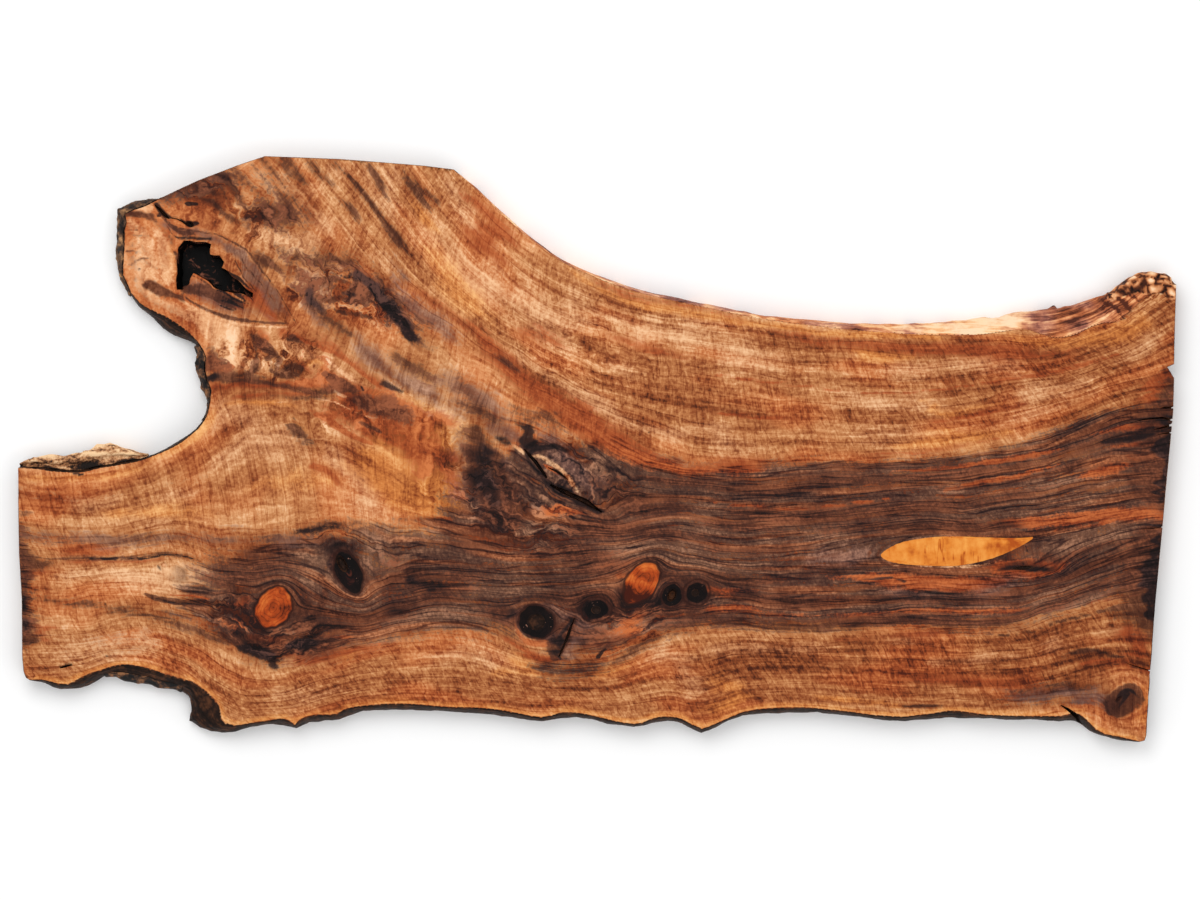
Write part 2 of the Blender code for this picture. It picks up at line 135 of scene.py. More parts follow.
# Knots: centre x, y, half axes along and across, angle in degrees, how far the grain bends round it
KNOTS = {
    "orange": (-670, -328, 44, 35, 62, 1.0),
    "lobe": (-722, -332, 18, 26, 20, 0.5),
    "black_left": (-516, -254, 46, 25, -62, 1.0),
    "small_brown": (-880, -254, 24, 15, -30, 0.7),
    "ringed_black": (-127, -358, 37, 34, 0, 1.0),
    "soft_dark": (-3, -332, 32, 25, 10, 0.8),
    "copper": (92, -276, 50, 31, 55, 1.0),
    "glossy_void": (154, -303, 25, 21, 80, 0.8),
    "small_ring": (204, -298, 27, 26, 30, 0.8),
    "corner": (1090, -520, 38, 30, 60, 1.0),
    "dark_red": (884, -244, 66, 22, -2, 0.8),
    "amber_eye": (730, -212, 150, 28, -1, 0.9),
    "pocket_lip": (-70, -50, 95, 30, -38, 0.8),
}

# Knots that show growth rings, and the dark ones with where their black begins and how black it is
ROUND_KNOTS = ("orange", "black_left", "small_brown", "ringed_black", "soft_dark", "copper", "glossy_void",
               "small_ring", "corner")
DARK_KNOTS = {"black_left": (4.9, 1.0), "ringed_black": (5.0, 1.0), "soft_dark": (3.9, 0.9),
              "glossy_void": (4.6, 1.0), "small_ring": (4.1, 0.9)}

# Sunken spots whose sides keep the colour of the top: x, y, reach
DIPS = [(-925, 336, 20), (-898, -240, 12), (1079, -516, 16)]

# Stains as strokes: how soft their border is, then points (x, y, half width)
STAINS = {
    "heart": [
        (14, [(0, -210, 205), (80, -200, 190), (200, -200, 168), (400, -197, 172), (600, -194, 172),
              (800, -190, 184), (950, -157, 180), (1040, -120, 185), (1110, -100, 189), (1200, -105, 195)]),
        (20, [(0, -210, 205), (-80, -190, 165), (-150, -210, 132), (-300, -275, 102), (-400, -280, 112),
              (-500, -292, 122), (-600, -312, 126), (-680, -314, 112), (-735, -322, 82), (-775, -345, 40)]),
        (10, [(-1202, -150, 8), (-1201, -200, 15), (-1200, -260, 19), (-1197, -340, 20), (-1190, -400, 12)]),
        (0.7, 10, [(-900, -335, 5), (-850, -345, 12), (-790, -360, 26)]),
        (0.42, 9, [(-760, 560, 22), (-700, 545, 40), (-650, 500, 45), (-640, 480, 30)]),
        (0.72, 10, [(-900, 520, 14), (-840, 535, 22), (-770, 560, 18)]),
        (0.6, 8, [(-720, 470, 12), (-670, 480, 22), (-635, 490, 16)]),
        (0.62, 16, [(-640, 380, 22), (-560, 350, 48), (-480, 330, 50), (-420, 280, 34), (-380, 240, 18)]),
        (14, [(1130, -60, 60), (1150, 0, 56), (1165, 50, 40), (1180, 100, 22)]),
        (0.5, 16, [(830, -520, 8), (880, -512, 22), (960, -505, 26), (1040, -515, 26), (1065, -535, 16)]),
        (16, [(-100, -455, 16), (-60, -462, 14), (0, -450, 12)]),
    ],
    "dark": [
        (8, [(895, 292, 9), (960, 288, 14), (1010, 292, 12), (1055, 306, 12)]),
        (5, [(925, 262, 8), (985, 264, 8)]),
        (4, [(1062, 296, 9), (1085, 290, 8), (1095, 278, 4)]),
        (3, [(-712, 228, 6), (-706, 200, 3), (-706, 176, 3), (-713, 160, 4), (-745, 152, 3), (-800, 150, 4)]),
        (3, [(-698, 217, 10), (-680, 205, 10), (-668, 192, 4)]),
        (3, [(-684, 184, 3), (-668, 194, 5), (-656, 186, 4), (-662, 172, 2)]),
        (3, [(-812, 168, 6), (-795, 182, 8), (-775, 178, 5)]),
        (3, [(-640, 225, 3), (-628, 228, 6), (-612, 220, 3)]),
        (3, [(-672, 162, 3), (-650, 152, 8), (-630, 163, 10), (-618, 170, 7)]),
        (3, [(-560, 152, 3), (-540, 142, 10), (-518, 128, 11), (-506, 118, 5)]),
        (4, [(-815, 146, 6), (-760, 143, 6), (-700, 140, 8), (-640, 128, 7), (-590, 118, 7), (-540, 126, 6)]),
        (3, [(-490, 96, 8), (-470, 84, 10), (-452, 78, 8), (-440, 92, 8), (-420, 88, 6)]),
        (3, [(-482, 52, 4), (-462, 42, 6), (-446, 34, 3)]),
        (3, [(-632, 46, 6), (-622, 34, 6), (-608, 26, 5)]),
        (3, [(-937, 338, 6), (-922, 338, 9), (-905, 330, 7), (-886, 322, 5), (-862, 312, 4)]),
        (2, [(-900, 480, 2), (-882, 464, 2.4), (-855, 455, 2.4), (-809, 446, 2.4), (-764, 434, 2.6),
             (-726, 409, 2.6), (-698, 374, 2.6), (-664, 328, 2.4), (-641, 289, 2.4), (-626, 262, 2)]),
        (2, [(-862, 319, 2), (-826, 296, 2.4), (-780, 276, 2.4), (-740, 267, 2.4), (-690, 261, 2), (-640, 260, 2)]),
        (2, [(-835, 356, 2), (-805, 338, 2.4), (-775, 318, 2.2), (-745, 303, 2)]),
        (2, [(-852, 338, 2), (-815, 322, 2.4), (-780, 303, 2.2), (-750, 290, 2)]),
        (2, [(-740, 392, 2), (-712, 362, 2.4), (-684, 325, 2.2), (-660, 290, 2)]),
        (2, [(-754, 388, 2), (-727, 352, 2.2), (-700, 318, 2)]),
        (3, [(-975, 488, 5), (-955, 488, 7)]),
        (3, [(-943, 486, 5), (-930, 484, 6)]),
        (2, [(-982, 455, 1), (-960, 455, 2), (-945, 450, 1)]),
        (2, [(-982, 410, 1), (-965, 409, 2), (-950, 408, 1)]),
        (2, [(-970, 380, 0.8), (-945, 396, 1.6), (-920, 392, 0.8)]),
        (2, [(-875, 408, 3), (-868, 380, 4), (-866, 350, 4)]),
        (3, [(-862, 326, 3), (-840, 330, 6), (-800, 322, 8), (-770, 312, 8), (-740, 300, 6)]),
        (2, [(-895, 475, 2), (-880, 460, 4), (-862, 448, 5), (-840, 446, 4)]),
        (9, [(460, -66, 12), (600, -66, 15), (700, -56, 12), (800, -46, 10), (900, -28, 8), (980, -2, 8),
             (1060, 20, 11), (1150, 25, 13), (1190, 22, 10)]),
        (7, [(470, -32, 6), (540, -33, 9), (620, -30, 6), (720, -28, 5)]),
        (9, [(300, -135, 16), (400, -141, 17), (560, -131, 17), (700, -117, 15), (800, -108, 11),
             (900, -92, 6), (1000, -78, 5)]),
        (4, [(700, -80, 2), (800, -76, 3), (900, -58, 4), (950, -46, 7), (1000, -27, 9), (1035, -11, 5),
             (1080, -7, 3), (1150, -6, 2)]),
        (7, [(470, -168, 7), (600, -160, 10), (700, -158, 13), (800, -158, 11), (870, -156, 6)]),
        (5, [(240, -208, 5), (330, -213, 5), (440, -202, 3)]),
        (5, [(420, -260, 5), (500, -252, 6), (570, -245, 3)]),
        (8, [(230, -352, 8), (330, -363, 12), (420, -368, 13), (500, -366, 13), (600, -358, 13),
             (700, -356, 13), (800, -360, 13), (870, -348, 11), (940, -325, 12), (1000, -297, 10),
             (1080, -276, 10), (1130, -262, 12)]),
        (3, [(830, -387, 2), (900, -378, 3), (960, -356, 4), (1040, -335, 3), (1110, -320, 3)]),
        (8, [(310, -300, 10), (380, -312, 13), (440, -322, 9)]),
        (9, [(590, -310, 7), (700, -314, 11), (800, -308, 11), (890, -296, 9), (960, -268, 9),
             (1040, -232, 8), (1110, -205, 14)]),
        (7, [(230, -262, 9), (300, -274, 14), (370, -270, 8)]),
        (7, [(220, -150, 10), (300, -160, 8), (380, -172, 6)]),
        (8, [(200, -75, 6), (300, -88, 8), (400, -92, 7)]),
        (8, [(100, -60, 8), (160, -70, 10), (230, -66, 7)]),
        (10, [(40, -80, 18), (100, -120, 22), (160, -118, 12)]),
        (10, [(-20, -160, 20), (40, -165, 24), (110, -170, 14), (200, -182, 8)]),
        (9, [(-80, -200, 14), (-30, -225, 20), (20, -245, 20), (60, -235, 8)]),
        (4, [(838, -243, 4), (866, -240, 9), (900, -243, 11), (938, -247, 6)]),
        (5, [(900, -205, 4), (960, -228, 6), (1040, -200, 7), (1110, -190, 9)]),
        (10, [(-600, -165, 10), (-560, -158, 13), (-500, -152, 8)]),
        (12, [(-760, -235, 18), (-700, -255, 16), (-770, -275, 22), (-750, -300, 16)]),
        (12, [(-660, -235, 12), (-690, -240, 16), (-730, -245, 14)]),
        (12, [(-640, -400, 24), (-700, -425, 20), (-740, -400, 16)]),
        (12, [(-560, -370, 22), (-600, -400, 26), (-560, -415, 16)]),
        (12, [(-470, -352, 12), (-430, -340, 14), (-390, -325, 10)]),
        (14, [(-420, -230, 16), (-380, -265, 24), (-330, -290, 26), (-280, -262, 18), (-240, -262, 10)]),
        (12, [(-230, -330, 14), (-190, -345, 18), (-180, -375, 14)]),
        (10, [(-270, -200, 8), (-220, -190, 10)]),
        (10, [(-80, -305, 16), (-40, -310, 22), (10, -320, 24), (40, -345, 14)]),
        (9, [(-40, -380, 14), (10, -395, 14), (60, -400, 10)]),
        (9, [(60, -430, 10), (110, -395, 10), (150, -372, 10), (230, -358, 8)]),
        (9, [(130, -330, 20), (180, -335, 18), (240, -345, 8)]),
        (10, [(140, -265, 14), (180, -270, 14), (230, -275, 12)]),
        (9, [(1196, 170, 6), (1192, 110, 16), (1186, 50, 26), (1180, -20, 32), (1174, -80, 28), (1170, -112, 18)]),
        (9, [(1166, -165, 20), (1160, -220, 34), (1154, -280, 38), (1150, -330, 32), (1148, -380, 14)]),
        (0.62, 14, [(-1185, -184, 16), (-1100, -184, 15), (-1000, -186, 13), (-900, -184, 12),
                    (-800, -186, 14), (-700, -190, 14), (-640, -182, 10)]),
        (6, [(-1190, -215, 14), (-1160, -240, 12), (-1130, -232, 6)]),
        (5, [(-1192, -330, 12), (-1176, -336, 8)]),
        (6, [(-1180, -395, 12), (-1150, -385, 5)]),
        (4, [(-1125, -230, 2), (-1080, -226, 4), (-974, -227, 4), (-889, -217, 5), (-831, -229, 4)]),
        (1.5, [(-934, -300, 2), (-908, -310, 6), (-860, -317, 7), (-800, -321, 6), (-740, -330, 4)]),
        (6, [(-1140, -312, 6), (-1000, -328, 6), (-930, -345, 8), (-860, -366, 9), (-800, -388, 10),
             (-760, -402, 10)]),
        (0.42, 14, [(-905, -85, 10), (-870, -72, 14), (-820, -58, 10)]),
        (0.42, 12, [(-1150, -98, 10), (-1130, -96, 10), (-1020, -90, 10), (-980, -84, 8)]),
        (0.9, 6, [(-1194, -130, 4), (-1192, -200, 8), (-1190, -260, 11), (-1187, -330, 11), (-1183, -410, 6)]),
        (1.5, [(578, -220, 2), (592, -236, 2.2), (622, -246, 2), (662, -250, 1.6)]),
        (1.5, [(578, -220, 2), (592, -202, 2.2), (628, -187, 2), (668, -178, 1.6)]),
        (1.5, [(560, -222, 1.6), (576, -198, 1.6), (612, -178, 1.4), (650, -168, 1)]),
        (6, [(-724, -390, 10), (-690, -408, 18), (-645, -402, 14)]),
        (3, [(1068, -545, 8), (1088, -520, 18), (1108, -494, 10)]),
        (1.5, [(-52, -350, 4), (-66, -375, 9), (-84, -405, 10), (-90, -436, 3)]),
        (2, [(-585, 318, 4), (-560, 308, 5), (-530, 312, 5), (-505, 305, 4)]),
        (2, [(-575, 345, 4), (-545, 352, 5), (-515, 345, 4)]),
        (2, [(-540, 285, 4), (-505, 280, 5), (-470, 275, 4)]),
        (0.8, 5, [(-610, 360, 8), (-594, 330, 9), (-588, 300, 8)]),
        (2, [(-500, 330, 3), (-478, 338, 5), (-455, 322, 5), (-440, 290, 4)]),
        (0.9, 2, [(-690, -250, 5), (-735, -270, 6), (-772, -282, 5), (-810, -262, 3)]),
        (0.9, 3, [(-640, -262, 4), (-612, -300, 6), (-606, -345, 6), (-622, -380, 5)]),
        (0.9, 2, [(-560, -290, 3), (-575, -330, 5), (-600, -372, 5)]),
        (0.7, 10, [(-95, -360, 12), (-85, -390, 18), (-88, -420, 10)]),
        (0.8, 6, [(30, -300, 6), (24, -330, 10), (36, -352, 8)]),
        (0.8, 6, [(126, -270, 5), (132, -300, 7), (126, -325, 6)]),
        (0.7, 6, [(180, -268, 5), (178, -300, 6), (184, -326, 6)]),
        (0.85, 5, [(-745, 578, 9), (-725, 552, 10), (-705, 530, 7)]),
        (0.85, 4, [(-690, 600, 9), (-672, 575, 9), (-655, 556, 5)]),
        (0.85, 4, [(-645, 600, 14), (-628, 575, 14), (-610, 558, 8)]),
        (0.8, 4, [(-600, 592, 6), (-575, 570, 10), (-545, 548, 5)]),
        (0.85, 4, [(-720, 600, 5), (-700, 570, 4)]),
        (0.85, 4, [(-770, 560, 8), (-745, 530, 10), (-730, 500, 7)]),
        (0.85, 4, [(-795, 570, 5), (-775, 540, 6), (-758, 505, 4)]),
        (0.8, 3, [(-668, 604, 4), (-650, 580, 4), (-636, 560, 3)]),
        (4, [(-545, 592, 4), (-500, 548, 7), (-470, 510, 6), (-448, 478, 8), (-425, 448, 14),
             (-402, 420, 10), (-392, 405, 3)]),
        (4, [(-477, 590, 5), (-462, 570, 7), (-448, 545, 8), (-438, 525, 3)]),
        (4, [(-404, 582, 4), (-392, 560, 8), (-374, 530, 11), (-352, 504, 7), (-345, 495, 2)]),
        (4, [(-368, 542, 3), (-352, 528, 7), (-330, 512, 4)]),
        (5, [(-525, 510, 3), (-505, 490, 9), (-495, 472, 3)]),
        (0.9, 6, [(-700, 478, 12), (-665, 485, 16), (-640, 505, 12), (-650, 525, 9)]),
        (5, [(-830, 515, 5), (-790, 508, 9), (-765, 480, 7), (-745, 470, 3)]),
        (6, [(-870, 540, 8), (-835, 550, 12), (-800, 565, 8)]),
        (8, [(-830, 540, 14), (-790, 530, 14)]),
        (5, [(-700, 395, 10), (-680, 385, 12), (-660, 370, 4)]),
        (10, [(-640, 392, 8), (-600, 395, 9), (-540, 395, 14), (-500, 375, 16)]),
        (10, [(-600, 345, 12), (-590, 310, 18), (-565, 275, 14), (-535, 250, 12)]),
        (10, [(-540, 325, 12), (-490, 335, 20), (-450, 330, 20), (-430, 300, 26), (-405, 265, 20),
              (-385, 235, 16), (-365, 225, 6)]),
        (8, [(-400, 180, 10), (-370, 160, 12), (-350, 150, 8)]),
        (7, [(-375, 175, 10), (-345, 140, 8), (-320, 150, 4)]),
        (10, [(-280, 140, 14), (-260, 100, 14), (-235, 75, 12)]),
        (5, [(-250, 35, 10), (-240, 0, 16), (-228, -45, 24), (-214, -90, 27), (-200, -130, 20), (-185, -155, 12)]),
        (10, [(-150, 60, 10), (-110, 65, 12), (-85, 75, 5)]),
        (5, [(-190, 182, 10), (-178, 172, 6)]),
        (7, [(-480, 100, 16), (-450, 85, 22), (-425, 90, 14)]),
        (7, [(-640, 160, 10), (-620, 168, 10)]),
        (5, [(-530, 120, 8), (-510, 122, 8)]),
        (6, [(-790, 185, 8), (-810, 170, 10)]),
        (6, [(-785, 152, 9), (-740, 152, 6), (-690, 148, 4)]),
        (5, [(-660, 110, 4), (-600, 108, 6), (-560, 112, 3)]),
        (5, [(-615, 40, 9), (-625, 30, 6)]),
        (5, [(-625, 12, 3), (-610, 22, 5), (-600, 35, 3)]),
        (6, [(940, -492, 8), (980, -488, 9), (1010, -490, 6)]),
        (9, [(860, -505, 6), (900, -495, 6)]),
        (3, [(630, -532, 2), (690, -532, 5), (720, -536, 2)]),
        (3, [(960, -430, 3), (1010, -418, 6), (1060, -424, 4), (1140, -445, 2)]),
        (0.75, 3, [(-978, 484, 4), (-964, 488, 6), (-950, 482, 4)]),
        (0.75, 3, [(-944, 484, 4), (-930, 480, 6), (-916, 474, 4)]),
        (0.60, 3, [(-976, 466, 3), (-958, 460, 4), (-936, 458, 3)]),
        (0.60, 3, [(-972, 447, 3), (-950, 442, 4), (-928, 441, 3)]),
        (0.60, 4, [(-904, 430, 3), (-895, 408, 5), (-890, 386, 3)]),
        (0.75, 4, [(-950, 358, 3), (-934, 346, 6), (-912, 336, 6), (-888, 322, 4)]),
        (0.55, 5, [(-960, 352, 4), (-932, 312, 5), (-895, 292, 5), (-858, 278, 4)]),
        (0.55, 4, [(-974, 424, 3), (-969, 395, 4), (-958, 370, 3)]),
        (0.55, 3, [(-950, 426, 2), (-937, 410, 4), (-924, 400, 2)]),
        (0.55, 3, [(-942, 394, 2), (-925, 380, 4), (-906, 370, 2)]),
        (0.65, 4, [(-908, 464, 4), (-886, 442, 5), (-881, 424, 3)]),
        (2, [(1050, -446, 1), (1100, -448, 2.5), (1140, -460, 1)]),
    ],
    "grey": [
        (5, [(-890, 469, 7), (-872, 454, 8), (-848, 445, 7), (-809, 438, 7), (-770, 424, 8), (-740, 398, 14),
             (-708, 358, 20), (-676, 314, 20), (-650, 285, 12), (-634, 268, 4)]),
        (0.7, 6, [(-852, 332, 10), (-825, 330, 16), (-800, 313, 18), (-768, 296, 16), (-735, 284, 13),
                  (-700, 273, 8), (-660, 266, 4)]),
        (12, [(-1190, -180, 10), (-1100, -182, 14), (-1000, -190, 12), (-900, -186, 10), (-800, -186, 14),
              (-700, -190, 16), (-620, -184, 14)]),
        (16, [(-470, 195, 22), (-440, 160, 24), (-400, 140, 26), (-350, 110, 20), (-300, 80, 12),
              (-260, 62, 6)]),
        (14, [(-400, 310, 18), (-370, 285, 24), (-330, 255, 22), (-300, 225, 14)]),
        (10, [(-417, 400, 7), (-415, 360, 9), (-405, 320, 12)]),
        (14, [(-500, 240, 14), (-480, 210, 18)]),
        (16, [(-280, 30, 8), (-250, -20, 30), (-230, -70, 38), (-220, -110, 34), (-215, -135, 18)]),
        (14, [(-300, 140, 20), (-250, 110, 26), (-210, 80, 20)]),
        (12, [(-90, 25, 20), (-70, -20, 22), (-30, -60, 24), (0, -80, 18)]),
        (10, [(-50, -350, 14), (-40, -385, 18), (-60, -420, 18)]),
        (9, [(-100, -320, 10), (-80, -345, 10)]),
        (12, [(590, -300, 8), (700, -305, 12), (800, -300, 14), (850, -275, 12)]),
        (0.85, 10, [(-238, 62, 12), (-210, 44, 20), (-175, 28, 18), (-150, 10, 8)]),
        (9, [(845, -500, 5), (900, -510, 16), (960, -500, 18), (1030, -515, 20), (1060, -540, 14)]),
        (14, [(470, -230, 16), (520, -225, 22), (560, -215, 12)]),
        (10, [(-620, 320, 6), (-600, 290, 10), (-560, 250, 8)]),
        (0.42, 18, [(-1150, -400, 24), (-1050, -395, 34), (-940, -380, 28), (-900, -360, 16)]),
        (0.45, 16, [(-1185, -80, 14), (-1150, -100, 20), (-1110, -120, 12)]),
        (2, [(-48, -376, 4), (-56, -400, 8), (-68, -426, 6)]),
        (0.6, 10, [(-930, -336, 8), (-860, -346, 14), (-800, -362, 16)]),
    ],
    "rust": [
        (2, [(-756, 329, 1.5), (-738, 318, 2), (-722, 308, 1.5)]),
        (2, [(-766, 316, 1.5), (-742, 304, 2.2), (-724, 296, 1.5)]),
        (2, [(-775, 303, 1.5), (-750, 294, 2), (-735, 287, 1)]),
        (3, [(-836, 362, 1.5), (-815, 352, 3), (-790, 338, 3), (-772, 328, 2)]),
        (4, [(-720, 320, 8), (-700, 300, 16), (-680, 285, 14), (-665, 276, 8)]),
        (4, [(-800, 163, 4), (-780, 168, 5), (-765, 172, 3)]),
        (3, [(-650, 240, 3), (-600, 222, 5), (-560, 205, 6), (-520, 185, 6), (-480, 150, 6), (-450, 130, 5)]),
        (3, [(-588, -36, 6), (-565, -43, 8), (-548, -58, 5), (-540, -75, 3)]),
        (3, [(-596, 78, 3), (-560, 62, 6), (-530, 40, 6), (-500, 22, 5), (-470, 12, 3)]),
        (4, [(-430, 50, 10), (-405, 30, 14), (-385, 10, 8)]),
        (3, [(600, -49, 3), (700, -42, 5), (800, -29, 6), (900, -13, 6), (960, 0, 3)]),
        (3, [(720, -84, 3), (800, -67, 5), (860, -60, 5), (900, -47, 5), (960, -30, 3)]),
        (2, [(240, -111, 1.5), (330, -120, 3.5), (420, -124, 3.5), (500, -116, 3.5), (600, -103, 2)]),
        (4, [(240, -330, 8), (300, -330, 7), (360, -341, 5), (450, -346, 3), (560, -342, 3), (650, -335, 4),
             (750, -335, 6), (830, -336, 6), (900, -331, 3)]),
        (5, [(815, -240, 6), (850, -243, 16), (890, -245, 19), (930, -246, 14), (955, -243, 5)]),
        (4, [(495, -267, 2), (560, -266, 9), (620, -272, 14), (700, -279, 18), (770, -282, 17),
             (820, -277, 13), (860, -268, 4)]),
        (5, [(800, -156, 4), (880, -152, 10), (950, -150, 14), (1020, -141, 15), (1080, -136, 14),
             (1150, -131, 16), (1175, -133, 18)]),
        (6, [(1030, -45, 12), (1065, -42, 14)]),
        (5, [(1120, -18, 8), (1150, -16, 8)]),
        (5, [(1145, 105, 12), (1160, 140, 12), (1185, 150, 14)]),
        (5, [(1100, -368, 8), (1112, -395, 12), (1115, -422, 10)]),
        (4, [(1030, -318, 3), (1110, -303, 4)]),
        (4, [(1110, -450, 5), (1145, -462, 9)]),
        (9, [(-410, 340, 3), (-330, 300, 7), (-280, 262, 9), (-240, 235, 12), (-200, 190, 18),
             (-150, 140, 24), (-100, 108, 26), (-50, 72, 28), (0, 38, 28), (50, 4, 24), (100, -22, 17),
             (150, -38, 12), (220, -44, 11), (300, -34, 14), (335, -28, 7)]),
        (8, [(-565, 70, 8), (-510, 75, 24), (-450, 82, 38), (-400, 66, 36), (-350, 62, 20)]),
        (10, [(-470, 42, 18), (-420, 28, 24), (-380, 0, 16), (-355, -40, 12)]),
        (8, [(-320, 60, 12), (-345, 20, 10), (-370, -30, 9), (-375, -60, 5)]),
        (6, [(-320, -30, 9), (-300, -70, 9), (-290, -100, 5)]),
        (5, [(-800, 128, 4), (-740, 134, 8), (-680, 130, 12), (-600, 135, 12), (-540, 140, 16),
             (-520, 135, 8)]),
        (5, [(-740, 108, 4), (-660, 115, 6), (-600, 118, 6)]),
        (5, [(-640, 255, 3), (-600, 250, 4), (-560, 230, 3)]),
        (7, [(-700, 215, 12), (-690, 225, 8)]),
        (6, [(-610, 175, 10), (-600, 165, 8)]),
        (7, [(-640, 232, 9), (-560, 215, 10), (-520, 190, 9), (-470, 150, 7), (-430, 118, 7)]),
        (6, [(-590, 195, 5), (-540, 170, 5), (-510, 140, 4)]),
        (5, [(-800, 188, 6), (-800, 165, 6)]),
        (9, [(-690, 300, 22), (-670, 280, 12)]),
        (5, [(-500, 362, 3), (-480, 365, 9)]),
        (8, [(-1100, -215, 5), (-1060, -212, 14), (-1000, -212, 8)]),
        (4, [(-1130, -238, 3), (-1050, -235, 3), (-950, -234, 4), (-900, -228, 3)]),
        (5, [(-1190, -262, 8), (-1150, -255, 5)]),
        (5, [(-1150, -370, 8), (-1148, -395, 5)]),
        (0.5, 9, [(-730, -350, 22), (-750, -366, 16)]),
        (1.5, [(-806, -310, 2), (-840, -304, 2.4), (-880, -302, 2), (-912, -300, 1.4)]),
        (6, [(-730, -308, 9), (-745, -325, 8)]),
        (6, [(-700, -395, 10), (-660, -400, 9)]),
        (7, [(-640, -430, 6), (-580, -430, 14), (-530, -420, 14), (-480, -412, 6), (-400, -400, 3)]),
        (5, [(-560, -385, 4), (-520, -388, 5)]),
        (3, [(-167, -366, 4), (-158, -388, 6), (-138, -401, 7), (-112, -403, 6), (-92, -392, 4)]),
        (5, [(-175, -395, 6), (-140, -425, 9), (-100, -435, 7)]),
        (5, [(10, -385, 7), (50, -370, 9), (80, -350, 7), (100, -335, 7)]),
        (5, [(-10, -405, 4), (40, -395, 7), (80, -370, 7)]),
        (5, [(230, -290, 7), (280, -296, 8), (320, -292, 4)]),
        (5, [(-105, -130, 9), (-75, -125, 9), (-50, -130, 6)]),
        (2, [(-106, -36, 3), (-84, -47, 4), (-64, -59, 3)]),
        (7, [(-440, 40, 18), (-400, 20, 26), (-350, 0, 24), (-310, -20, 14)]),
        (5, [(40, -235, 4), (60, -260, 5)]),
        (6, [(-260, 438, 8), (-230, 450, 12), (-205, 460, 12)]),
        (6, [(-265, 420, 5), (-235, 418, 9), (-215, 400, 8)]),
        (6, [(-205, 470, 8), (-190, 445, 9), (-180, 430, 7)]),
        (7, [(-258, 515, 12), (-230, 495, 12), (-210, 470, 9)]),
        (10, [(-150, 235, 10), (-120, 235, 12), (-105, 245, 6)]),
        (6, [(0, 345, 4), (60, 318, 6), (140, 302, 6), (220, 290, 5), (300, 265, 4)]),
        (7, [(30, 235, 4), (100, 210, 9), (160, 195, 7)]),
        (7, [(380, 236, 7), (450, 226, 9), (560, 214, 8), (650, 208, 12), (720, 206, 14), (800, 206, 14),
             (870, 198, 14), (940, 196, 9), (1000, 205, 5)]),
        (3, [(240, 75, 2), (330, 66, 5), (420, 60, 3)]),
        (3, [(250, 152, 2), (340, 140, 4), (450, 128, 3), (560, 117, 2), (700, 122, 4), (850, 145, 3)]),
        (3, [(690, 55, 3), (800, 75, 5), (880, 92, 4)]),
        (3, [(750, 128, 3), (850, 143, 4), (950, 160, 5), (1075, 195, 4)]),
        (4, [(560, -12, 3), (650, -8, 4), (760, 8, 4), (830, 22, 3)]),
        (5, [(1040, 35, 4), (1100, 45, 6), (1170, 52, 8)]),
        (5, [(1060, 5, 4), (1110, 10, 6), (1170, 8, 5)]),
        (5, [(500, -395, 4), (600, -388, 6), (700, -384, 5)]),
        (7, [(620, -470, 5), (700, -478, 9), (800, -482, 9), (870, -490, 5)]),
        (5, [(1000, -445, 5), (1040, -438, 7), (1100, -440, 7)]),
    ],
    "black": [
        (2, [(-762, 336, 2), (-745, 325, 2.6), (-728, 314, 1.2)]),
        (2, [(-772, 322, 2), (-750, 310, 3), (-728, 300, 1.4)]),
        (2, [(-780, 308, 1.5), (-755, 300, 2.6), (-735, 292, 1.2)]),
        (2, [(-785, 298, 1), (-765, 290, 2), (-750, 286, 1)]),
        (2, [(-768, 362, 3), (-745, 350, 5), (-722, 336, 3), (-708, 322, 1)]),
        (2, [(-804, 398, 2), (-790, 390, 4), (-776, 384, 3)]),
        (5, [(-150, 42, 12), (-165, 30, 14), (-145, 15, 14), (-130, 5, 10), (-118, -4, 5)]),
        (4, [(-150, -2, 3), (-142, -20, 3), (-125, -42, 4), (-108, -58, 4)]),
        (4, [(-98, -72, 5), (-75, -88, 9), (-50, -100, 11), (-28, -112, 8), (0, -130, 8)]),
        (3, [(-92, -40, 2.5), (-78, -50, 4), (-65, -60, 2)]),
        (3, [(-142, -16, 3), (-134, -4, 5), (-114, 3, 6), (-88, 5, 6), (-64, -4, 6)]),
        (0.8, 8, [(-244, 5, 12), (-234, -45, 24), (-222, -85, 26), (-208, -125, 18)]),
        (8, [(-200, 20, 6), (-185, 12, 5)]),
        (6, [(-527, -225, 20), (-522, -250, 24), (-508, -262, 16)]),
        (7, [(-545, -195, 9), (-550, -210, 6)]),
        (6, [(-505, -275, 10), (-488, -270, 6)]),
        (4, [(-897, -241, 4.5), (-890, -250, 2)]),
        (4, [(-127, -352, 34), (-125, -362, 32)]),
        (8, [(-85, -372, 14), (-80, -395, 12), (-84, -425, 6)]),
        (3, [(-52, -352, 4), (-66, -378, 4), (-78, -405, 3), (-85, -435, 2)]),
        (7, [(-18, -325, 16), (5, -338, 16)]),
        (4, [(152, -306, 20), (158, -288, 14)]),
        (5, [(200, -298, 14), (214, -308, 10)]),
        (3, [(1072, -522, 3), (1085, -505, 6), (1104, -500, 4), (1120, -515, 2)]),
        (3, [(1076, -535, 2), (1090, -514, 5), (1100, -508, 3)]),
        (4, [(830, -250, 3), (862, -246, 6), (905, -246, 8), (935, -248, 4)]),
        (2, [(880, -235, 2), (878, -246, 3)]),
        (2, [(886, -200, 1.5), (890, -212, 2.5)]),
        (2, [(545, -268, 1), (575, -269, 2.5), (608, -266, 3)]),
        (2.5, [(610, -268, 2), (633, -275, 3)]),
        (0.6, 7, [(655, -276, 9), (690, -279, 9)]),
        (3, [(650, -290, 2), (700, -298, 4), (760, -298, 2)]),
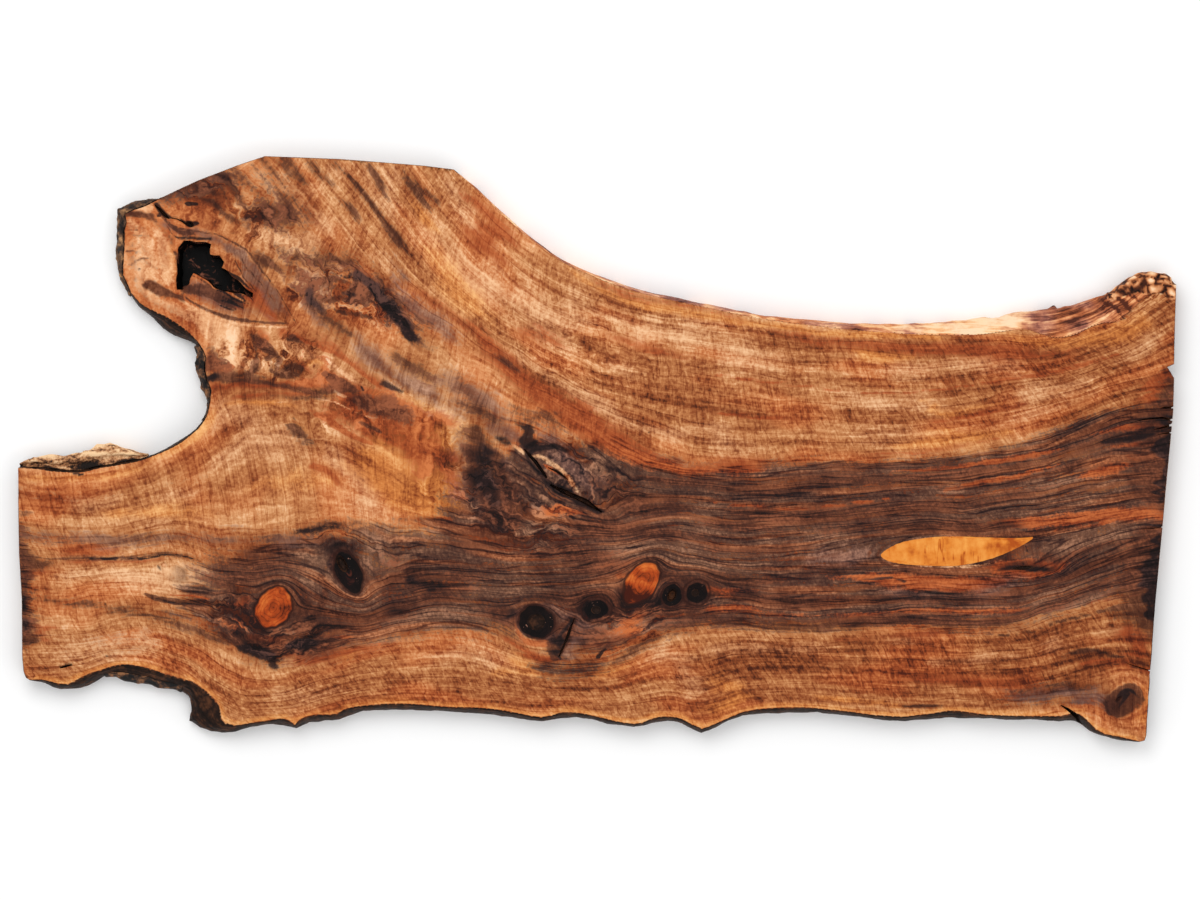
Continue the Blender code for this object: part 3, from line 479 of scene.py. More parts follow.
        (3, [(1140, -340, 10), (1145, -310, 8)]),
        (6, [(1168, -180, 10), (1160, -225, 20), (1154, -280, 24), (1150, -325, 18), (1150, -350, 8)]),
        (6, [(1190, 70, 6), (1184, 20, 14), (1180, -30, 15), (1176, -75, 12), (1172, -105, 6)]),
        (2, [(1102, 58, 1), (1140, 64, 2.5), (1185, 62, 3)]),
        (2, [(1170, 86, 2), (1195, 86, 3)]),
        (4, [(1050, 15, 6), (1100, 22, 9), (1150, 30, 6)]),
        (2, [(1075, -165, 1), (1130, -156, 2.5), (1170, -160, 3)]),
        (2, [(950, -168, 0.6), (1050, -165, 1.2), (1090, -162, 1.2)]),
        (5, [(-1196, -260, 5), (-1192, -320, 8), (-1190, -370, 7)]),
        (4, [(-1190, -475, 7), (-1180, -470, 5)]),
        (2, [(-1110, -451, 1.5), (-1088, -446, 1.5)]),
        (1.5, [(-790, 332, 1), (-770, 322, 2.4), (-752, 306, 1)]),
        (1.5, [(-762, 330, 1.5), (-742, 318, 3.2), (-722, 300, 1.2)]),
        (1.5, [(-752, 338, 1.5), (-732, 326, 3.2), (-712, 306, 1.2)]),
        (1.5, [(-778, 316, 1.2), (-756, 304, 2.8), (-738, 292, 1)]),
        (2, [(-1018, -431, 2), (-1010, -428, 3)]),
        (2.5, [(-1014, -318, 1.5), (-1013, -327, 3)]),
        (2, [(-1080, -50, 3), (-1070, -53, 3), (-1062, -50, 1)]),
        (2, [(-1080, -70, 0.8), (-1062, -70, 1.2)]),
        (1.5, [(-1100, -229, 0.5), (-1050, -227, 2), (-1000, -228, 1.6), (-940, -227, 2), (-889, -218, 2.5),
               (-850, -224, 2), (-831, -229, 1)]),
        (2, [(-925, -305, 1), (-880, -318, 2.5), (-820, -321, 2), (-800, -324, 1)]),
        (8, [(-730, -410, 12), (-690, -425, 14), (-670, -445, 9)]),
        (8, [(-620, -405, 14), (-590, -395, 12), (-560, -375, 8)]),
        (6, [(-600, -168, 7), (-575, -166, 8), (-540, -155, 5)]),
        (9, [(-440, -335, 9), (-410, -335, 8)]),
        (9, [(-380, -270, 12), (-330, -285, 14)]),
        (9, [(-200, -345, 9), (-170, -335, 9)]),
        (7, [(-595, 325, 9), (-590, 305, 12), (-570, 285, 8)]),
        (6, [(-530, 322, 5), (-510, 325, 7)]),
        (6, [(-502, 352, 6), (-478, 346, 10), (-456, 328, 13), (-438, 304, 16), (-420, 282, 14), (-404, 262, 10)]),
        (5, [(-400, 258, 12), (-388, 235, 12), (-372, 226, 8), (-360, 225, 3)]),
        (5, [(-550, 365, 3), (-510, 362, 3)]),
        (4, [(-450, 140, 9), (-430, 130, 6), (-410, 120, 4)]),
        (3, [(-916, 508, 5), (-900, 488, 7), (-886, 480, 4)]),
        (2, [(-886, 480, 2), (-870, 480, 2), (-855, 470, 3), (-845, 466, 7), (-828, 468, 3)]),
        (2, [(-850, 508, 5), (-830, 508, 4)]),
        (2, [(-911, 484, 3.5), (-908, 483, 2)]),
        (2, [(-951, 373, 2.5), (-948, 373, 1.5)]),
        (3, [(-890, 462, 1), (-875, 440, 2), (-850, 436, 3), (-800, 432, 3)]),
        (5, [(-800, 150, 7), (-815, 140, 7)]),
        (3, [(-640, 70, 0.5), (-600, 38, 1)]),
        (2, [(-490, 130, 2), (-486, 122, 3)]),
        (2, [(360, -528, 2), (366, -530, 2)]),
        (2, [(935, -508, 2), (938, -509, 2)]),
        (2, [(908, -496, 2), (912, -494, 2)]),
        (2, [(108, 35, 2.2), (107, 33, 2)]),
        (1.5, [(1052, 306, 1), (1066, 298, 2.2), (1078, 288, 2.2), (1086, 276, 1)]),
        (1.5, [(1074, 316, 1.6), (1090, 306, 3), (1100, 294, 2.4), (1106, 280, 1)]),
        (1.5, [(1096, 322, 1.6), (1112, 316, 2.2), (1126, 306, 1)]),
        (1.5, [(1084, 268, 2), (1090, 272, 3)]),
        (2, [(1120, 342, 2), (1140, 336, 3), (1158, 338, 2)]),
        (2, [(0, -430, 5), (15, -415, 4)]),
    ],
    "gold": [
        (4, [(-596, 172, 5), (-575, 178, 7), (-560, 168, 6), (-566, 150, 4)]),
        (3, [(-620, 50, 3), (-612, 46, 4), (-606, 36, 3)]),
        (3, [(-470, 118, 3), (-450, 112, 5), (-430, 104, 3)]),
        (4, [(-885, 420, 5), (-882, 390, 8), (-880, 360, 6)]),
        (16, [(-470, -30, 30), (-410, -60, 60), (-350, -85, 56), (-312, -105, 34), (-285, -130, 12)]),
        (18, [(-440, 20, 30), (-340, 15, 38), (-290, 30, 26), (-275, 10, 12)]),
        (14, [(-430, 120, 8), (-400, 105, 14), (-340, 80, 14), (-300, 60, 8)]),
        (7, [(-930, -24, 4), (-880, 0, 8), (-840, 25, 11), (-805, 58, 11), (-790, 80, 8)]),
        (6, [(-760, 96, 6), (-700, 96, 8), (-650, 95, 5)]),
        (25, [(-700, -70, 14), (-620, -70, 20), (-560, -60, 10)]),
        (8, [(-388, 522, 5), (-362, 482, 12), (-342, 455, 8)]),
        (20, [(-330, 400, 20), (-290, 330, 30), (-230, 280, 20)]),
        (5, [(-60, 372, 5), (0, 332, 7), (80, 300, 10), (160, 290, 10), (250, 272, 9), (340, 258, 7),
             (420, 248, 6)]),
        (3, [(420, 242, 5), (520, 238, 8), (600, 239, 8), (680, 232, 8), (710, 228, 4)]),
        (8, [(540, 195, 10), (600, 190, 14), (640, 192, 8)]),
        (16, [(640, 10, 12), (740, 18, 20), (830, 30, 12)]),
        (12, [(840, 235, 5), (890, 225, 12), (940, 215, 10), (1060, 235, 20), (1120, 250, 18)]),
        (10, [(-1190, -60, 5), (-1100, -60, 5), (-1000, -52, 8), (-950, -38, 8)]),
        (14, [(-1000, -135, 10), (-940, -130, 14), (-870, -130, 20), (-800, -130, 10)]),
        (10, [(-1060, -242, 4), (-980, -240, 6), (-920, -240, 4)]),
        (7, [(-560, -425, 6), (-530, -428, 10), (-500, -425, 5)]),
        (16, [(240, -485, 12), (280, -510, 16), (240, -545, 14)]),
        (20, [(-160, -445, 14), (-100, -460, 8)]),
        (12, [(-200, -462, 6), (-150, -458, 8), (0, -465, 9), (60, -450, 6)]),
        (8, [(1105, -375, 5), (1115, -355, 4), (1085, -357, 5)]),
        (9, [(1130, -560, 10), (1135, -500, 6)]),
        (5, [(460, -515, 4), (560, -522, 6), (620, -532, 4)]),
        (7, [(690, 105, 4), (720, 72, 8), (790, 85, 7), (850, 100, 5)]),
    ],
    "pale": [
        (12, [(-785, 118, 5), (-765, 90, 16), (-735, 65, 22), (-700, 62, 12)]),
        (20, [(-720, 10, 24), (-680, 15, 22), (-650, 30, 14)]),
        (12, [(-1100, -262, 14), (-1040, -252, 16), (-970, -262, 22), (-920, -272, 22), (-860, -272, 34),
              (-822, -262, 22)]),
        (12, [(-880, -100, 10), (-850, -95, 10)]),
        (12, [(-930, -150, 12), (-900, -150, 14)]),
        (14, [(-1090, -405, 14), (-1040, -408, 14), (-980, -400, 8)]),
        (12, [(-1110, -425, 10), (-1050, -428, 12), (-1000, -430, 8)]),
        (9, [(-940, -380, 12), (-935, -410, 12)]),
        (14, [(-1070, -120, 12), (-1020, -118, 12)]),
        (12, [(-550, 0, 14), (-520, -30, 16), (-495, -60, 18), (-480, -100, 18), (-470, -130, 12)]),
        (12, [(-490, -190, 8), (-480, -210, 9)]),
        (10, [(-590, -195, 10), (-575, -215, 12), (-570, -245, 7)]),
        (8, [(-520, -180, 10), (-500, -185, 6)]),
        (8, [(-640, -395, 5), (-630, -425, 6), (-625, -440, 3)]),
        (12, [(-640, -510, 10), (-600, -510, 14), (-560, -505, 10)]),
        (14, [(-320, -175, 12), (-280, -180, 12)]),
        (14, [(-300, -350, 10), (-275, -350, 12)]),
        (16, [(-330, -430, 8), (-280, -425, 16), (-220, -430, 16), (-180, -445, 8)]),
        (10, [(-650, -265, 6), (-680, -275, 8), (-620, -270, 5)]),
        (18, [(-430, -20, 10), (-420, -50, 16)]),
        (12, [(-620, 205, 8), (-580, 185, 10), (-530, 155, 11), (-505, 140, 7)]),
        (8, [(-760, 215, 10), (-790, 225, 9), (-760, 185, 12), (-730, 175, 14), (-700, 175, 8)]),
        (10, [(-800, 250, 10), (-780, 235, 14), (-740, 240, 12)]),
        (12, [(-750, 405, 10), (-720, 365, 10), (-690, 325, 8), (-650, 285, 6)]),
        (10, [(-700, 440, 12), (-650, 432, 18), (-610, 420, 20), (-580, 430, 14)]),
        (14, [(-640, 540, 8), (-600, 500, 12), (-560, 455, 12), (-545, 430, 8)]),
        (10, [(-690, 560, 6), (-670, 530, 7)]),
        (10, [(-620, 520, 8), (-560, 560, 8), (-520, 580, 5)]),
        (14, [(-490, 590, 5), (-440, 500, 10), (-420, 560, 12)]),
        (25, [(-500, 440, 14), (-470, 410, 16), (-440, 380, 10)]),
        (30, [(-330, 420, 26), (-280, 370, 40), (-230, 330, 44), (-170, 310, 36)]),
        (10, [(-310, 560, 8), (-290, 520, 16), (-275, 480, 14)]),
        (10, [(-210, 420, 3), (-205, 435, 4)]),
        (8, [(-495, 280, 6), (-470, 270, 9), (-450, 262, 6)]),
        (26, [(-150, 290, 30), (-100, 270, 36), (-40, 290, 24)]),
        (9, [(-170, 190, 8), (-130, 168, 10), (-80, 138, 12), (-30, 110, 12), (20, 82, 12), (60, 55, 13),
             (110, 38, 14), (170, 30, 10)]),
        (14, [(40, 170, 10), (70, 160, 10)]),
        (24, [(20, 280, 12), (90, 250, 20), (180, 235, 24), (260, 210, 24), (340, 200, 20)]),
        (18, [(280, 180, 10), (350, 178, 18), (400, 182, 12)]),
        (16, [(230, 40, 12), (270, 8, 16), (300, 0, 12)]),
        (16, [(560, 30, 12), (600, 25, 20), (630, 35, 10)]),
        (20, [(540, 100, 10), (620, 90, 14), (690, 95, 10)]),
        (18, [(600, 165, 10), (660, 165, 12), (820, 180, 14), (850, 170, 8)]),
        (20, [(880, 115, 16), (930, 125, 24), (980, 130, 18)]),
        (16, [(1100, 190, 8), (1140, 215, 14)]),
        (20, [(820, 50, 8), (940, 80, 10)]),
        (8, [(-120, 20, 5), (-90, 15, 5), (-60, 25, 4)]),
        (5, [(-170, 2, 8), (-158, -4, 6)]),
        (5, [(-130, -20, 6), (-90, -30, 14), (-60, -50, 10), (-30, -85, 6), (0, -108, 4)]),
        (4, [(-112, -38, 4), (-90, -55, 5), (-60, -78, 3)]),
        (9, [(30, -20, 6), (30, -45, 7)]),
        (12, [(230, -415, 8), (300, -412, 15), (380, -415, 12), (450, -412, 6)]),
        (12, [(640, -395, 8), (680, -390, 9)]),
        (10, [(930, -385, 6), (950, -405, 14), (975, -402, 8)]),
        (10, [(1060, -375, 8), (1090, -370, 12)]),
        (9, [(180, -430, 6), (185, -480, 9), (205, -520, 7)]),
        (9, [(130, -415, 9), (150, -432, 9)]),
        (6, [(85, -240, 4), (110, -238, 6), (140, -262, 4)]),
        (6, [(-120, -315, 3), (-90, -330, 5), (-75, -350, 3)]),
        (9, [(700, -445, 6), (760, -440, 6), (850, -428, 6)]),
    ],
    "cream": [
        # On the wane: pale sapwood with a painted highlight where its slope faces the light
        (8, [(620, 256, 5), (700, 252, 10), (760, 251, 14), (830, 264, 17), (885, 276, 10)]),
        (3, [(1010, 262, 3), (1040, 270, 4), (1070, 284, 4)]),
        (2, [(-672, 95, 1.5), (-655, 97, 2.5), (-642, 95, 1)]),
        (0.8, 1.5, [(1128, 52, 1), (1150, 57, 1.6), (1182, 56, 1.6)]),
        (0.8, 1.5, [(1118, 30, 1), (1142, 36, 1.6), (1176, 44, 1.4)]),
        (0.7, 1.5, [(1146, 14, 1), (1160, 20, 1.6), (1180, 22, 1.4)]),
        (0.7, 1.5, [(1144, -12, 1.2), (1162, -8, 1.4), (1178, -8, 1.2)]),
        (0.6, 1.5, [(1136, -52, 1.2), (1152, -54, 1.4), (1170, -50, 1.2)]),
        (0.6, 1.5, [(1132, -200, 1.6), (1136, -216, 1.8)]),
        (0.6, 1.5, [(1128, -268, 1.2), (1140, -272, 1.8), (1150, -262, 1.2)]),
        (2, [(-592, 106, 1), (-545, 97, 2), (-500, 76, 2), (-470, 66, 2.2), (-440, 60, 1.2)]),
        (3, [(-560, 185, 3), (-540, 168, 5), (-518, 150, 6), (-503, 140, 4)]),
        (2, [(-545, 120, 3), (-528, 110, 4), (-515, 108, 2)]),
        (2, [(-700, 198, 2), (-690, 182, 3), (-695, 168, 2)]),
        (2, [(-676, 180, 2), (-664, 176, 2), (-650, 166, 1.5)]),
        (2, [(-750, 190, 5), (-735, 176, 6), (-725, 166, 4)]),
        (2, [(600, -241, 0.8), (680, -243, 1.8), (750, -244, 2.2), (810, -238, 2), (850, -226, 1.2)]),
        (1.5, [(584, -224, 1), (576, -216, 1.4), (586, -206, 1)]),
        (8, [(-968, 480, 10), (-945, 440, 22), (-940, 400, 28), (-935, 360, 26), (-925, 325, 18)]),
        (8, [(-905, 450, 14), (-895, 400, 22), (-890, 360, 18), (-890, 350, 10)]),
        (2.5, [(-176, 9, 3), (-164, 1, 4), (-152, -9, 3)]),
        (0.75, 3, [(-134, -16, 3), (-118, -16, 5), (-95, -30, 6), (-72, -47, 6), (-50, -70, 6), (-34, -92, 4)]),
        (2, [(-868, 310, 2), (-826, 287, 2.6), (-780, 267, 2.6), (-740, 258, 2.6), (-687, 252, 2.4), (-640, 252, 2)]),
        (7, [(-950, 340, 9), (-915, 305, 9), (-870, 285, 9), (-830, 262, 10), (-805, 235, 8)]),
        (10, [(-840, 285, 12), (-800, 262, 14), (-770, 240, 16), (-740, 220, 8)]),
        (3, [(-935, 500, 14), (-960, 495, 8)]),
        (6, [(-765, 205, 8), (-745, 190, 8)]),
    ],
}

AMBER = [
    (3, [(590, -220, 4), (607, -219, 14), (640, -215, 24), (700, -212, 30), (750, -211, 30), (812, -205, 22),
         (868, -194, 10), (900, -184, 2)]),
]

# Where the wood is darker or lighter as a whole, and a painted highlight on the wane: strength, softness, points (x,
# y, half width)
SHADED = [
    (0.60, 40, [(240, -500, 60), (400, -460, 60), (600, -450, 66), (800, -450, 66), (1000, -440, 70), (1100, -430, 60)]),
    (0.50, 40, [(-520, -490, 40), (-300, -480, 36), (-100, -500, 36), (100, -490, 40)]),
    (0.55, 22, [(-480, -40, 24), (-410, -70, 36), (-340, -95, 32)]),
    (0.50, 16, [(-880, 292, 10), (-845, 272, 12), (-810, 250, 10)]),
    (0.60, 10, [(-835, 322, 6), (-795, 306, 8), (-750, 300, 8)]),
    (1.50, 12, [(96, -306, 14), (74, -308, 18), (66, -290, 10)]),
    (0.60, 6, [(80, -270, 3), (92, -262, 5), (104, -268, 4)]),
    (1.00, 16, [(838, -200, 10), (870, -194, 12), (905, -184, 8)]),
    (0.80, 12, [(-655, -352, 10), (-640, -322, 8), (-648, -300, 6)]),
    (0.70, 14, [(1076, -536, 14), (1100, -508, 18)]),
    (0.80, 18, [(-232, 56, 14), (-200, 38, 22), (-160, 26, 16)]),
    (0.30, 40, [(-740, -60, 30), (-640, -40, 40), (-560, -20, 30)]),
    (0.45, 20, [(-700, -400, 24), (-660, -420, 24)]),
    (0.60, 12, [(846, -245, 12), (925, -246, 12)]),
    (0.70, 18, [(-750, -366, 26), (-715, -350, 20)]),
    (0.25, 12, [(940, 278, 10), (1000, 286, 12), (1040, 296, 8)]),
    (0.40, 40, [(700, 200, 30), (900, 205, 40), (1080, 250, 50), (1150, 290, 40)]),
    (0.35, 40, [(1000, 60, 40), (1100, 110, 50), (1180, 160, 40)]),
    (0.35, 30, [(-1180, -120, 20), (-1120, -110, 30), (-1000, -110, 24)]),
    (0.45, 24, [(-780, 20, 16), (-700, 60, 18), (-600, 66, 20)]),
    (0.35, 40, [(-100, 120, 50), (60, 90, 50), (250, 60, 40)]),
    (0.30, 30, [(300, 215, 20), (500, 205, 24), (700, 200, 20)]),
    (0.40, 30, [(-600, -500, 24), (-700, -530, 24)]),
]

LIT = [
    (0.7, 40, [(-330, 430, 30), (-280, 380, 60), (-220, 340, 60), (-150, 300, 50), (-80, 285, 30)]),
    (0.4, 30, [(-560, 540, 20), (-500, 480, 24), (-450, 420, 24)]),
    (0.4, 40, [(0, 260, 20), (100, 240, 30), (250, 215, 30)]),
    (0.5, 20, [(-960, 470, 14), (-945, 420, 24), (-940, 370, 20)]),
    (0.9, 18, [(-462, -196, 14), (-432, -228, 22), (-404, -256, 12)]),
    (0.5, 24, [(-1120, -400, 20), (-1030, -405, 26), (-960, -390, 18)]),
    (0.4, 30, [(700, -190, 10), (900, -190, 16), (980, -190, 12)]),
    (0.9, 10, [(-905, -18, 5), (-855, 14, 8), (-815, 50, 9), (-796, 82, 6)]),
    # Painted highlight on the wane's sloping face
    (1.2, 14, [(760, 251, 14), (820, 258, 16), (875, 270, 8)]),
    (0.6, 16, [(-850, -262, 20), (-900, -268, 24), (-980, -262, 18)]),
    (1.0, 8, [(530, -264, 4), (600, -268, 7), (690, -279, 11), (780, -281, 9)]),
    (0.9, 8, [(880, -152, 7), (1000, -143, 11), (1150, -131, 11)]),
    (1.2, 5, [(-165, -372, 3), (-150, -396, 5), (-122, -405, 5), (-98, -396, 3)]),
    (1.0, 8, [(-12, -402, 4), (30, -386, 7), (74, -364, 6)]),
    (0.8, 6, [(1150, 344, 12), (1180, 336, 12)]),
]

# Darker growth bands: grain value, half width, strength
BANDS = [(228, 4, 0.5), (205, 3, 0.3), (176, 4, 0.35), (146, 5, 0.5), (133, 4, 0.6), (110, 3, 0.4), (84, 4, 0.5),
         (62, 4, 0.6), (38, 3, 0.4), (14, 5, 0.4), (-398, 4, 0.4), (-416, 3, 0.5), (-436, 4, 0.5), (-458, 3, 0.4),
         (-478, 4, 0.5), (-505, 4, 0.4), (-524, 3, 0.5)]

BURL = [(11, [(1066, 320, 10), (1095, 334, 15), (1125, 346, 24), (1165, 350, 30), (1192, 334, 24)])]
BURL_LUMP = 19.0
BURL_DEPTH = 9.0

# The rotted hollow: centre, reach of its ragged rim, size of the rags and how far they go
HOLLOW = (-794, 380)
HOLLOW_REACH = (115, 88)
RAG_SIZE = 24.0
RAG_DEPTH = 8.5

# How far the strokes of a stain run out along the grain
STRETCH = {"heart": 1.5, "dark": 2.4, "grey": 2.0, "rust": 2.4, "black": 1.3, "gold": 1.6, "pale": 2.0, "cream": 1.0}

# Where the figure curls: strength, softness, points (x, y, radius)
CURLS = [
    (1.0, 20, [(-780, 190, 30), (-700, 200, 50), (-620, 190, 50), (-560, 150, 30)]),
    (0.9, 20, [(-600, 340, 45), (-520, 330, 55), (-440, 290, 45)]),
    (0.7, 20, [(-880, 500, 20), (-800, 520, 40), (-700, 470, 50), (-640, 420, 40)]),
    (0.6, 25, [(-560, 60, 40), (-450, 80, 60), (-330, 40, 50), (-330, -60, 60)]),
    (0.6, 25, [(-250, -60, 60), (-200, -120, 60), (-100, -160, 60)]),
    (0.6, 20, [(-760, -330, 50), (-700, -400, 40), (-600, -400, 40)]),
    (0.35, 30, [(-560, -200, 40), (-440, -230, 50)]),
    (0.6, 20, [(20, -370, 40), (100, -350, 50)]),
    (0.5, 25, [(-50, -50, 70), (40, -90, 50)]),
    (0.5, 20, [(1060, 300, 40), (1140, 340, 50)]),
    (0.4, 25, [(-940, 400, 60), (-860, 300, 30)]),
    (0.5, 25, [(1090, -520, 60)]),
    (0.35, 40, [(-50, 200, 90), (60, 200, 60)]),
]


# Fields over the board
def smoothed(points, pieces=3):
    """The points of a stroke with more between them, on a smooth curve through them all."""
    if len(points) < 3:
        return [tuple(p) for p in points]
    p = np.array([points[0], *points, points[-1]], float)
    out = []
    for a, b, c, d in zip(p, p[1:], p[2:], p[3:]):
        for k in range(pieces):
            u = k / pieces
            spot = 2 * b + (c - a) * u + (2 * a - 5 * b + 4 * c - d) * u * u + (3 * b - a - 3 * c + d) * u ** 3
            out.append((spot[0] / 2, spot[1] / 2, max(spot[2] / 2, 0.3)))
    return out + [tuple(p[-1])]


def segment_value(x, y, points, soft, grain, stretch):
    """1 well inside the stroke, 0.5 on its border, 0 outside. Strokes run out along the grain."""
    best = np.full(x.shape, -1e9)
    run_x, run_y = grain
    for (ax, ay, aw), (bx, by, bw) in zip(points, points[1:]):
        dx, dy = bx - ax, by - ay
        t = ((x - ax) * dx + (y - ay) * dy) / max(dx * dx + dy * dy, 1e-6)
        t = np.clip(t, 0.0, 1.0)
        gap_x, gap_y = x - ax - t * dx, y - ay - t * dy
        along = (gap_x * run_x + gap_y * run_y) / stretch
        across = gap_x * run_y - gap_y * run_x
        best = np.maximum(best, aw + (bw - aw) * t - np.hypot(along, across))
    return np.clip(0.5 + best / (2.0 * soft), 0.0, 1.0)


def painted(x, y, strokes, grain, stretch=1.0, soften=1.0, fray=None):
    """The strongest of the strokes at each point. Soft strokes get frayed borders."""
    field = np.zeros(x.shape)
    for stroke in strokes:
        strength, soft, points = stroke if len(stroke) == 3 else (1.0, *stroke)
        loose = min(1.0, max(0.0, (soft - 1.5) / 3.5)) if fray else 0.0
        soft = soft * soften if soft > 3 else soft
        width = max(p[2] for p in points)
        steady = min(1.0, width / 20.0)
        reach = (soft + width) * stretch + 2.0 + 34.0 * loose
        low_x = min(p[0] for p in points) - reach
        high_x = max(p[0] for p in points) + reach
        low_y = min(p[1] for p in points) - reach
        high_y = max(p[1] for p in points) + reach
        near = np.nonzero((x > low_x) & (x < high_x) & (y > low_y) & (y < high_y))[0]
        here = grain[0][near], grain[1][near]
        px, py = x[near], y[near]
        if loose:
            run, side = fray[0][near] * loose, fray[1][near] * loose * steady
            px, py = px + here[0] * run - here[1] * side, py + here[1] * run + here[0] * side
        value = strength * segment_value(px, py, smoothed(points), soft, here, stretch)
        field[near] = np.maximum(field[near], value)
    return field


def frayed(co, across, along):
    """How far each point is pushed along and across the grain before the strokes are looked up there."""
    wood = np.stack([across / 13.0, along / 95.0, np.full(len(across), 2.0)], 1)
    thread = np.stack([across / 6.5, along / 42.0, np.full(len(across), 7.0)], 1)
    run = 30.0 * noise_at(wood, 1000.0, 11) + 16.0 * noise_at(thread, 1000.0, 12)
    side = 8.0 * noise_at(co, 34.0, 13) + 4.0 * noise_at(co, 13.0, 14)
    return run, side


def plate_kernel(square):
    return 0.5 * square * np.log(np.maximum(square, 1e-9))


def chunks(count, size=8000):
    return [slice(i, min(i + size, count)) for i in range(0, count, size)]


class GrainField:
    """A thin plate through the grain lines: its contours run along the grain."""

    def __init__(self, lines, stiffness=0.004):
        points = np.array([p for _, line in lines for p in line], float) / 1000.0
        values = np.array([value for value, line in lines for _ in line], float)
        count = len(points)
        square = ((points[:, None] - points[None]) ** 2).sum(-1)
        system = np.zeros((count + 3, count + 3))
        system[:count, :count] = plate_kernel(square) + stiffness * np.eye(count)
        system[:count, count] = 1.0
        system[:count, count + 1:] = points
        system[count:, :count] = system[:count, count:].T
        self.points = points
        self.weights = np.linalg.solve(system, np.append(values, np.zeros(3)))

    def at(self, x, y):
        out = np.empty(len(x))
        spot = np.stack([x, y], 1) / 1000.0
        for part in chunks(len(x)):
            here = spot[part]
            square = ((here[:, None] - self.points[None]) ** 2).sum(-1)
            out[part] = plate_kernel(square) @ self.weights[:-3]
            out[part] += self.weights[-3] + here @ self.weights[-2:]
        return out


def knot_distance(x, y, knot):
    cx, cy, along, across, angle, _ = knot
    c, s = math.cos(math.radians(angle)), math.sin(math.radians(angle))
    u = (x - cx) * c + (y - cy) * s
    v = -(x - cx) * s + (y - cy) * c
    return np.hypot(u / along, v / across)


def across_grain(field, x, y):
    """The grain value, with the grain lines parted round each knot."""
    value = field.at(x, y)
    for knot in KNOTS.values():
        distance = np.maximum(knot_distance(x, y, knot), 1.0)
        centre = field.at(np.array([float(knot[0])]), np.array([float(knot[1])]))[0]
        hold = knot[5] * np.exp(-0.95 * (distance - 1.0)) / distance
        value -= (value - centre) * hold
    return value


def along_grain(field, x, y):
    """A coordinate that grows along the grain, fitted so that it crosses the grain at right angles."""
    step = 2.0
    gx, gy = np.meshgrid(np.arange(-1200, 1201, 60.0), np.arange(-600, 601, 60.0))
    gx, gy = gx.ravel(), gy.ravel()
    slope_x = (field.at(gx + step, gy) - field.at(gx - step, gy)) / (2 * step)
    slope_y = (field.at(gx, gy + step) - field.at(gx, gy - step)) / (2 * step)
    size = np.maximum(np.hypot(slope_x, slope_y), 1e-3)
    want_x, want_y = slope_y / size, -slope_x / size
    cx, cy = np.meshgrid(np.arange(-1300, 1301, 130.0), np.arange(-700, 701, 130.0))
    cx, cy = cx.ravel(), cy.ravel()
    reach = 200.0

    def bumps(px, py):
        square = (px[:, None] - cx[None]) ** 2 + (py[:, None] - cy[None]) ** 2
        return np.exp(-square / (2 * reach * reach))

    near = bumps(gx, gy)
    rows_x = -near * (gx[:, None] - cx[None]) / reach
    rows_y = -near * (gy[:, None] - cy[None]) / reach
    flat = np.full((len(gx), 1), 1.0)
    none = np.zeros((len(gx), 1))
    system = np.vstack([np.hstack([rows_x, flat, none]), np.hstack([rows_y, none, flat])])
    system = np.vstack([system, 0.15 * np.eye(system.shape[1])])
    want = np.concatenate([want_x, want_y, np.zeros(system.shape[1])])
    weights = np.linalg.lstsq(system, want, rcond=None)[0]
    out = np.empty(len(x))
    for part in chunks(len(x)):
        out[part] = bumps(x[part], y[part]) @ weights[:-2] * reach
        out[part] += weights[-2] * x[part] + weights[-1] * y[part]
    return out


# Finer mesh over the CAD slab
def inside_loops(px, py, ends):
    """Even-odd test of points against boundary segments."""
    inside = np.zeros(len(px), bool)
    for part in chunks(len(px), 4000):
        x, y = px[part][:, None], py[part][:, None]
        ax, ay, bx, by = (ends[:, i][None] for i in range(4))
        crosses = (ay > y) != (by > y)
        with np.errstate(divide="ignore", invalid="ignore"):
            at = ax + (y - ay) * (bx - ax) / (by - ay)
        inside[part] = (crosses & (x < at)).sum(1) % 2 == 1
    return inside


def net_points(low, high, spacing, rng):
    row = spacing * math.sqrt(3) / 2
    gx, gy = np.meshgrid(np.arange(low[0], high[0], spacing), np.arange(low[1], high[1], row))
    gx[1::2] += spacing / 2
    gx, gy = gx.ravel(), gy.ravel()
    return gx + rng.uniform(-0.15, 0.15, gx.shape) * spacing, gy + rng.uniform(-0.15, 0.15, gy.shape) * spacing


def in_detail(x, y):
    inside = np.zeros(len(x), bool)
    for low_x, low_y, high_x, high_y in DETAIL:
        inside |= (x > low_x) & (x < high_x) & (y > low_y) & (y < high_y)
    return inside


